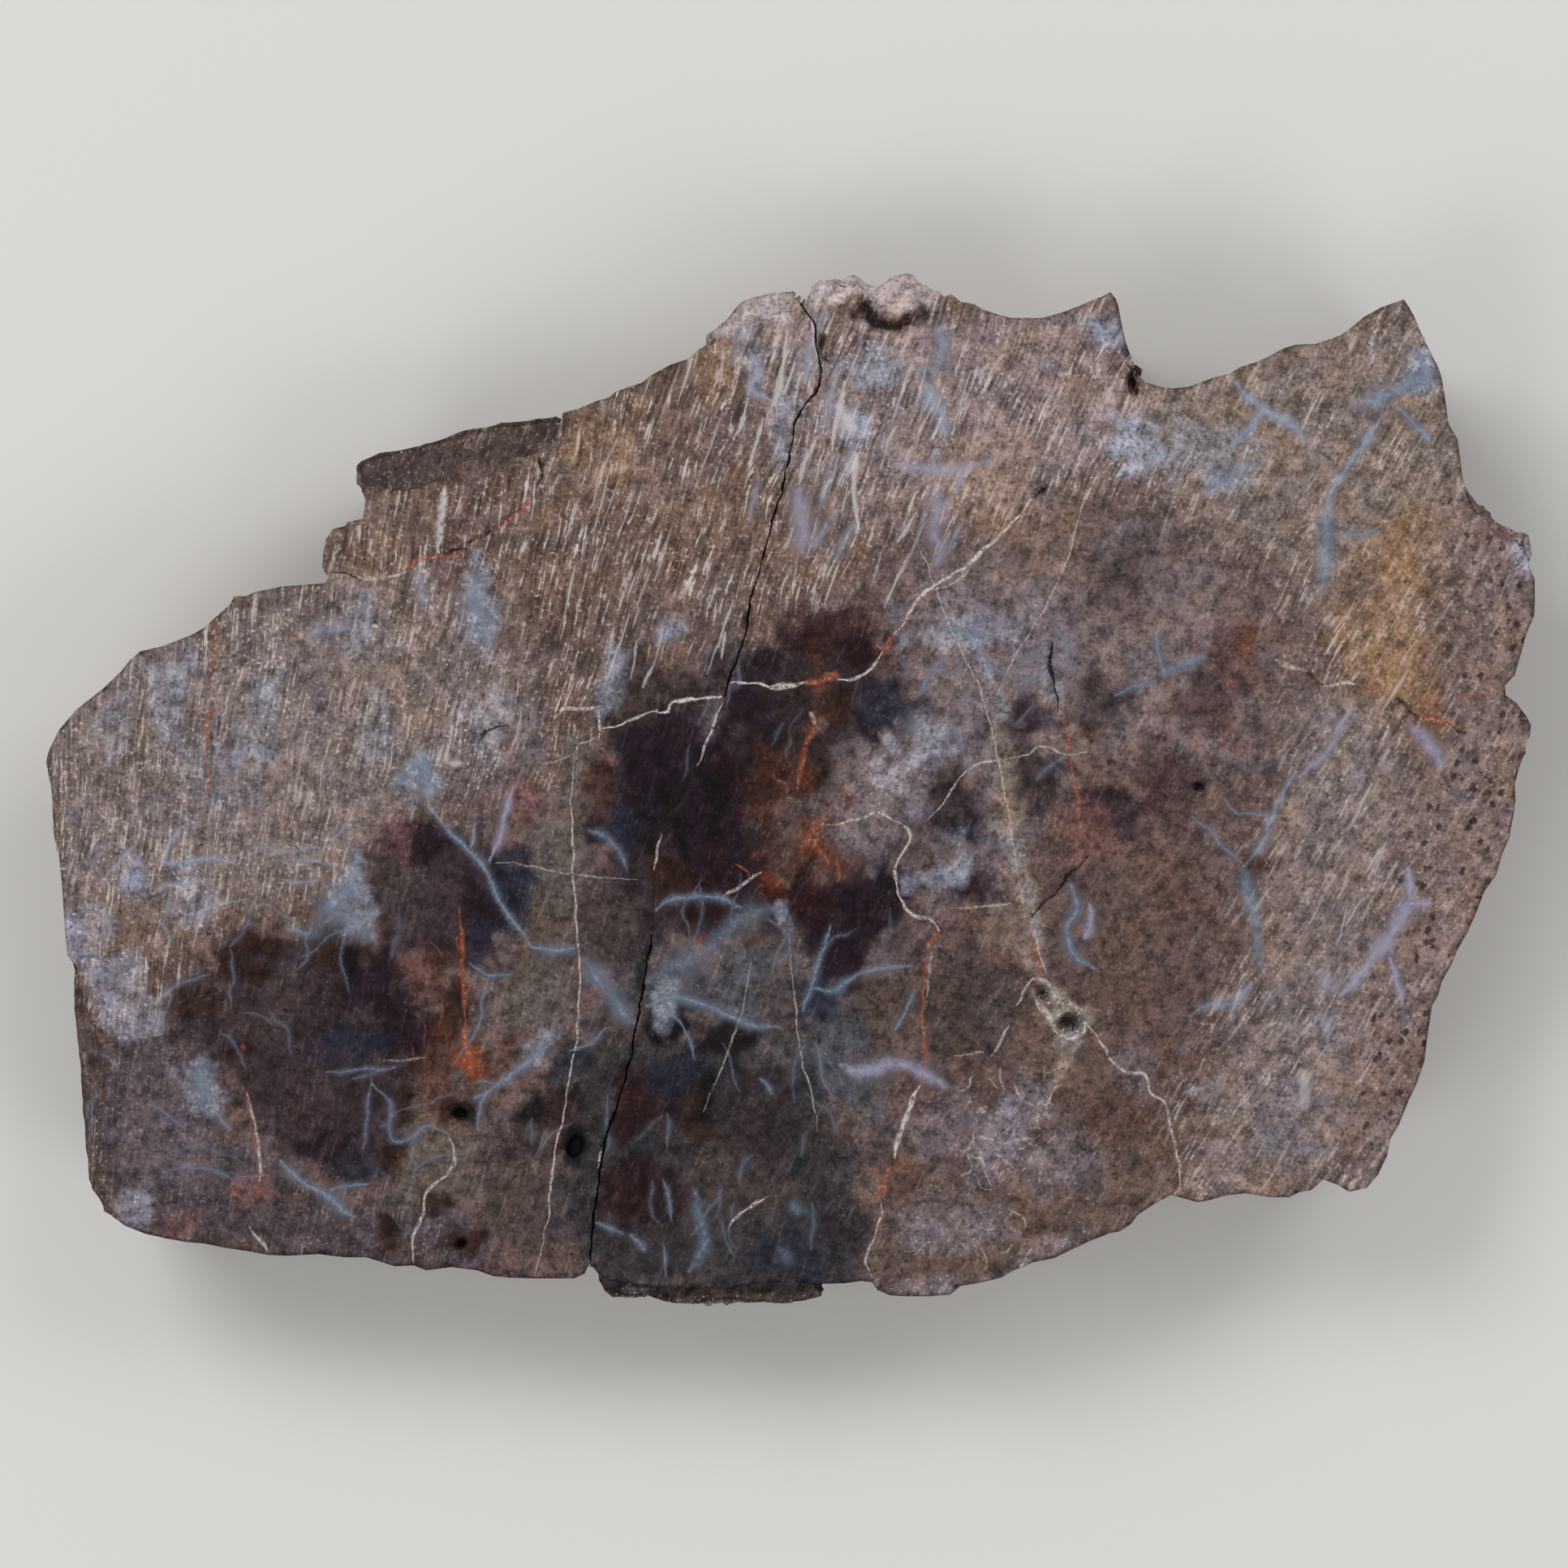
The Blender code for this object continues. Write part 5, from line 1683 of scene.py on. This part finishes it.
    def _inner_points(self, around: np.ndarray, ends: np.ndarray, step: float,
                      rows: np.ndarray) -> np.ndarray:
        """Evenly spread places inside the rim, with the thin lines' own places among them.

        Args:
            around: The corners of the rim.
            ends: The two corners, by number, of each edge of the rim.
            step: The spacing.
            rows: Places along the thin lines.

        Returns:
            Rows of x and y.
        """
        low, high = around.min(0), around.max(0)
        rise = step * math.sqrt(3) / 2
        grid = [
            (x, y) for index, y in enumerate(np.arange(low[1] + 0.5 * rise, high[1], rise))
            for x in np.arange(low[0] + step * ROW_SHIFTS[index % 2], high[0], step)
        ]
        kept = np.zeros((0, 2))
        if len(rows):
            tree = self._lookup(around)
            cells: set = set()
            chosen = []
            for x, y in rows:
                cell = (int(x // self.row_gap), int(y // self.row_gap))
                if cell not in cells and tree.find((x, y, 0.0))[2] > self.row_gap:
                    cells.add(cell)
                    chosen.append((x, y))
            kept = np.array(chosen)
            kept = kept[self._inside(kept, around[ends])]
        tree = self._lookup(np.vstack([around, kept]))
        spread = np.array([(x, y) for x, y in grid if tree.find((x, y, 0.0))[2] > 0.5 * step])
        return np.vstack([kept, spread[self._inside(spread, around[ends])]])

    @staticmethod
    def _lookup(places: np.ndarray) -> kdtree.KDTree:
        """A tree that finds the nearest of some places.

        Args:
            places: Rows of x and y.

        Returns:
            The tree.
        """
        tree = kdtree.KDTree(len(places))
        for index, (x, y) in enumerate(places):
            tree.insert((x, y, 0.0), index)
        tree.balance()
        return tree

    @staticmethod
    def _inside(places: np.ndarray, edges: np.ndarray) -> np.ndarray:
        """Whether each place is inside the closed loops that the edges make.

        Args:
            places: Rows of x and y.
            edges: The two ends of each edge.

        Returns:
            One yes or no for each place.
        """
        order = np.argsort(places[:, 1], kind="stable")
        inside = np.zeros(len(places), bool)
        heights = places[order, 1]
        for start, end in edges:
            low, high = (start, end) if start[1] <= end[1] else (end, start)
            first, last = np.searchsorted(heights, [low[1], high[1]], side="left")
            if last > first:
                rows = order[first:last]
                share = (places[rows, 1] - low[1]) / (high[1] - low[1])
                inside[rows] ^= places[rows, 0] < low[0] + share * (high[0] - low[0])
        return inside

    def _store(self, mesh: bpy.types.Mesh, walls: np.ndarray, edge: np.ndarray, on_face: np.ndarray) -> None:
        """Writes the marks on the mesh and sinks its cracks, seams and grain.

        Args:
            mesh: The whole slab.
            walls: 1 for each corner of the walls, and 0 for the others.
            edge: Whether each corner is on a sawn face's own edge.
            on_face: Whether each corner is on the sawn face or its edge.
        """
        places = np.zeros(len(mesh.vertices) * 3, np.float32)
        mesh.vertices.foreach_get("co", places)
        places = places.reshape(-1, 3).astype(float)
        found, colours = self._measured(places)
        under = places[:, 2].max() - places[:, 2]
        granular = np.clip((found["specks"] - self.grain_specks) * self.grain_gain, 0.0, 1.0)
        granular *= smooth_step((under - self.grain_top) / self.grain_start)
        found["grit"] = walls * granular * np.exp(-under / self.grain_reach)
        found["wall"] = walls * ~edge * smooth_step(under / self.wall_fade - self.wall_start)
        found["rough"] = np.where(edge | (found["open_off"] < self.markings.farthest), 0.0, walls)
        inner = on_face & ~edge
        sink = self.crack_depth * smooth_step(self.crack_side - found["open_off"]) * found["open_ink"]
        sink += self.seam_depth * smooth_step(self.seam_side - found["seam_off"]) * found["seam_ink"]
        sink += self.face_grain_depth * np.clip(0.5 + self.face_grain.at(places[:, :2]), 0.0, 1.0)
        places[inner, 2] -= sink[inner]
        mesh.vertices.foreach_set("co", places.astype(np.float32).ravel())
        for name, values in found.items():
            layer = mesh.attributes.new(name, "FLOAT", "POINT")
            layer.data.foreach_set("value", values.astype(np.float32))
        layer = mesh.attributes.new("ground", "FLOAT_COLOR", "POINT")
        rows = np.ones((len(places), 4), np.float32)
        rows[:, :3] = to_linear(colours)
        layer.data.foreach_set("color", rows.ravel())
        mesh.update()

    def _measured(self, places: np.ndarray) -> tuple[dict[str, np.ndarray], np.ndarray]:
        """The lines, amounts and colours at each place, fewer and a little shifted on the back.

        Args:
            places: Rows of x, y and z.

        Returns:
            The lines and amounts by name, and the colours.
        """
        flat, back = places[:, :2], places[:, 2] < FLAT_TOLERANCE
        found = self.markings.lines(flat)
        colours, amounts = self.markings.areas(flat)
        found |= amounts
        back_colours, back_found = self.markings.areas(flat[back], self.back_sway)
        back_found |= self.markings.lines(flat[back], self.back_widest)
        colours[back] = back_colours * self.back_shade
        for name, value in back_found.items():
            found[name][back] = value
        return found, colours

    def _wall_tree(self) -> tuple[bpy.types.NodeTree, dict[str, str]]:
        """The node tree that breaks up the walls and strews grains on the crust.

        Returns:
            The tree, and the identifiers of its inputs by name.
        """
        tree = bpy.data.node_groups.new("rough_wall", "GeometryNodeTree")
        tree.is_modifier = True
        tree.interface.new_socket(name="Geometry", in_out="OUTPUT", socket_type="NodeSocketGeometry")
        sockets = {}
        floats = dict.fromkeys(("Depth", "Lumps", "Seed", "Grains", "Grain Radius"), "Float")
        for name, kind in {"Geometry": "Geometry", **floats, "Finish": "Material"}.items():
            made = tree.interface.new_socket(name=name, in_out="INPUT", socket_type=f"NodeSocket{kind}")
            sockets[name] = made.identifier
        graph = Graph(tree)
        given = {output.name: Value(graph, output) for output in tree.nodes.new("NodeGroupInput").outputs}
        rough, grit = (
            graph.node("GeometryNodeInputNamedAttribute", {"data_type": "FLOAT"}, {"Name": name}, "Attribute")
            for name in ("rough", "grit")
        )
        lumps = graph.node("ShaderNodeTexNoise", {"noise_dimensions": "4D"}, {
            "Vector": graph.node("GeometryNodeInputPosition", {}, {}), "W": given["Seed"],
            "Scale": given["Lumps"], "Detail": self.wall_layers, "Roughness": self.wall_rough,
        })
        push = graph.node("ShaderNodeVectorMath", {"operation": "SCALE"}, {
            0: graph.node("GeometryNodeInputNormal", {}, {}), "Scale": lumps * rough * given["Depth"] * -1.0,
        })
        walls = graph.node("GeometryNodeSetPosition", {}, {"Geometry": given["Geometry"], "Offset": push})
        points = graph.node("GeometryNodeDistributePointsOnFaces", {}, {
            "Mesh": walls, "Density": grit * given["Grains"], "Seed": self.grain_seeds[0],
        })
        ball = graph.node("GeometryNodeMeshIcoSphere", {}, {
            "Radius": given["Grain Radius"], "Subdivisions": 1,
        })
        pale = graph.node("GeometryNodeStoreNamedAttribute", {"data_type": "FLOAT"}, {
            "Geometry": ball, "Name": "granule", "Value": 1.0,
        })
        size = graph.node("FunctionNodeRandomValue", {"data_type": "FLOAT"}, {
            2: self.grain_sizes[0], 3: self.grain_sizes[1], "Seed": self.grain_seeds[1],
        }, 1)
        turn = graph.node("FunctionNodeRandomValue", {"data_type": "FLOAT_VECTOR"}, {
            1: FULL_TURN, "Seed": self.grain_seeds[2],
        })
        grains = graph.node("GeometryNodeInstanceOnPoints", {}, {
            "Points": points, "Instance": pale, "Rotation": turn, "Scale": size,
        })
        both = tree.nodes.new("GeometryNodeJoinGeometry")
        graph.feed(both.inputs[0], walls)
        graph.feed(both.inputs[0], grains)
        whole = graph.node("GeometryNodeRealizeInstances", {}, {0: Value(graph, both.outputs[0])})
        painted = graph.node("GeometryNodeSetMaterial", {}, {"Geometry": whole, "Material": given["Finish"]})
        graph.feed(tree.nodes.new("NodeGroupOutput").inputs[0], painted)
        return tree, sockets

    def roughen(self, slab: bpy.types.Object) -> None:
        """Breaks up the walls with a node tree and keeps the result as a plain mesh.

        Args:
            slab: The slab's object.
        """
        tree, sockets = self._wall_tree()
        modifier = slab.modifiers.new("rough_wall", "NODES")
        modifier.node_group = tree
        values = {
            "Depth": self.wall_push, "Lumps": self.wall_lumps, "Seed": self.wall_seed, "Grains": self.grains,
            "Grain Radius": self.grain_radius, "Finish": self.finish.material(self.photo),
        }
        for name, value in values.items():
            modifier[sockets[name]] = value
        bpy.context.view_layer.update()
        evaluated = slab.evaluated_get(bpy.context.evaluated_depsgraph_get())
        mesh = bpy.data.meshes.new_from_object(evaluated)
        places = np.zeros(len(mesh.vertices) * 3, np.float32)
        mesh.vertices.foreach_get("co", places)
        places = np.clip(places.reshape(-1, 3), *np.array(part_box(SLAB_NODE)))
        mesh.vertices.foreach_set("co", places.astype(np.float32).ravel())
        slab.modifiers.clear()
        slab.data = mesh
        mesh.shade_smooth()
        mesh.set_sharp_from_angle(angle=math.radians(self.smooth_angle))


@dataclass
class Studio:
    """A pale floor, soft light from all sides, and a camera straight over the face."""

    photo: PhotoFrame
    lens: float = 400.0
    sensor: float = 36.0
    floor_half: float = 1.2
    floor_colour: Colour = (214, 212, 208)
    floor_roughness: float = 0.9
    lamp_distance: float = 0.55
    lamp_height: float = 0.6
    lamp_size: float = 0.35
    lamp_power: float = 1.6
    lamp_shares: tuple[float, ...] = (0.8, 1.7, 0.8, 0.7)
    world_strength: float = 0.35
    farthest_seen: float = 10.0

    def build(self, face_height: float) -> None:
        """Sets the stage.

        Args:
            face_height: The height of the sawn face above the floor.
        """
        self._floor()
        self._lamps()
        self._camera(face_height)
        scene = bpy.context.scene
        scene.view_settings.view_transform = "Standard"
        scene.world = bpy.data.worlds.new("soft_room")
        scene.world.use_nodes = True
        light = scene.world.node_tree.nodes["Background"].inputs
        light["Color"].default_value = (1.0, 1.0, 1.0, 1.0)
        light["Strength"].default_value = self.world_strength

    def _floor(self) -> None:
        """A plain pale floor just under the slab."""
        bpy.ops.mesh.primitive_plane_add(size=2 * self.floor_half)
        floor = bpy.context.object
        floor.name = "floor"
        shader = Shader("pale_floor")
        shader.surface.inputs["Base Color"].default_value = linear(self.floor_colour)
        shader.surface.inputs["Roughness"].default_value = self.floor_roughness
        floor.data.materials.append(shader.material)
        floor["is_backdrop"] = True

    def _lamps(self) -> None:
        """Broad lamps in a ring, low enough to leave no glare on the face."""
        for index, share in enumerate(self.lamp_shares):
            turn = 2 * math.pi * (index + 0.5) / len(self.lamp_shares)
            data = bpy.data.lights.new(f"soft_lamp_{index}", "AREA")
            data.size = self.lamp_size
            data.energy = self.lamp_power * share
            lamp = bpy.data.objects.new(f"soft_lamp_{index}", data)
            right, up = self.lamp_distance * math.cos(turn), self.lamp_distance * math.sin(turn)
            spot = Vector((right, up, self.lamp_height))
            lamp.location = spot
            lamp.rotation_euler = (-spot).to_track_quat("-Z", "Y").to_euler()
            bpy.context.scene.collection.objects.link(lamp)

    def _camera(self, face_height: float) -> None:
        """A long lens straight above, so that a pixel of the face is where it was.

        Args:
            face_height: The height of the sawn face above the floor.
        """
        data = bpy.data.cameras.new("camera")
        data.lens = self.lens
        data.sensor_width = self.sensor
        data.clip_end = self.farthest_seen
        camera = bpy.data.objects.new("camera", data)
        half = 0.5 * self.photo.picture
        x, y = self.photo.place([(half, half)])[0]
        distance = self.photo.picture * self.photo.scale * self.lens / self.sensor
        camera.location = (x, y, face_height + distance)
        bpy.context.scene.collection.objects.link(camera)
        bpy.context.scene.camera = camera


def main() -> None:
    """Builds the slab and its stage, and reports each piece."""
    logging.basicConfig(level=logging.INFO, format="%(name)s: %(message)s")
    bpy.context.view_layer.update()
    cad_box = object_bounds()
    low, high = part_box(SLAB_NODE)
    photo = PhotoFrame(slab_width=high[0] - low[0])
    slab = ScuteSlab(photo, Markings(photo))
    piece = slab.build()
    slab.roughen(piece)
    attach(piece, "root")
    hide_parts(SLAB_NODE)
    log.info("%s: %d triangles, %d corners", piece.name, len(piece.data.polygons), len(piece.data.vertices))
    Studio(photo).build(cad_box[1].z)
    bpy.context.view_layer.update()


if __name__ == "__main__":
    main()
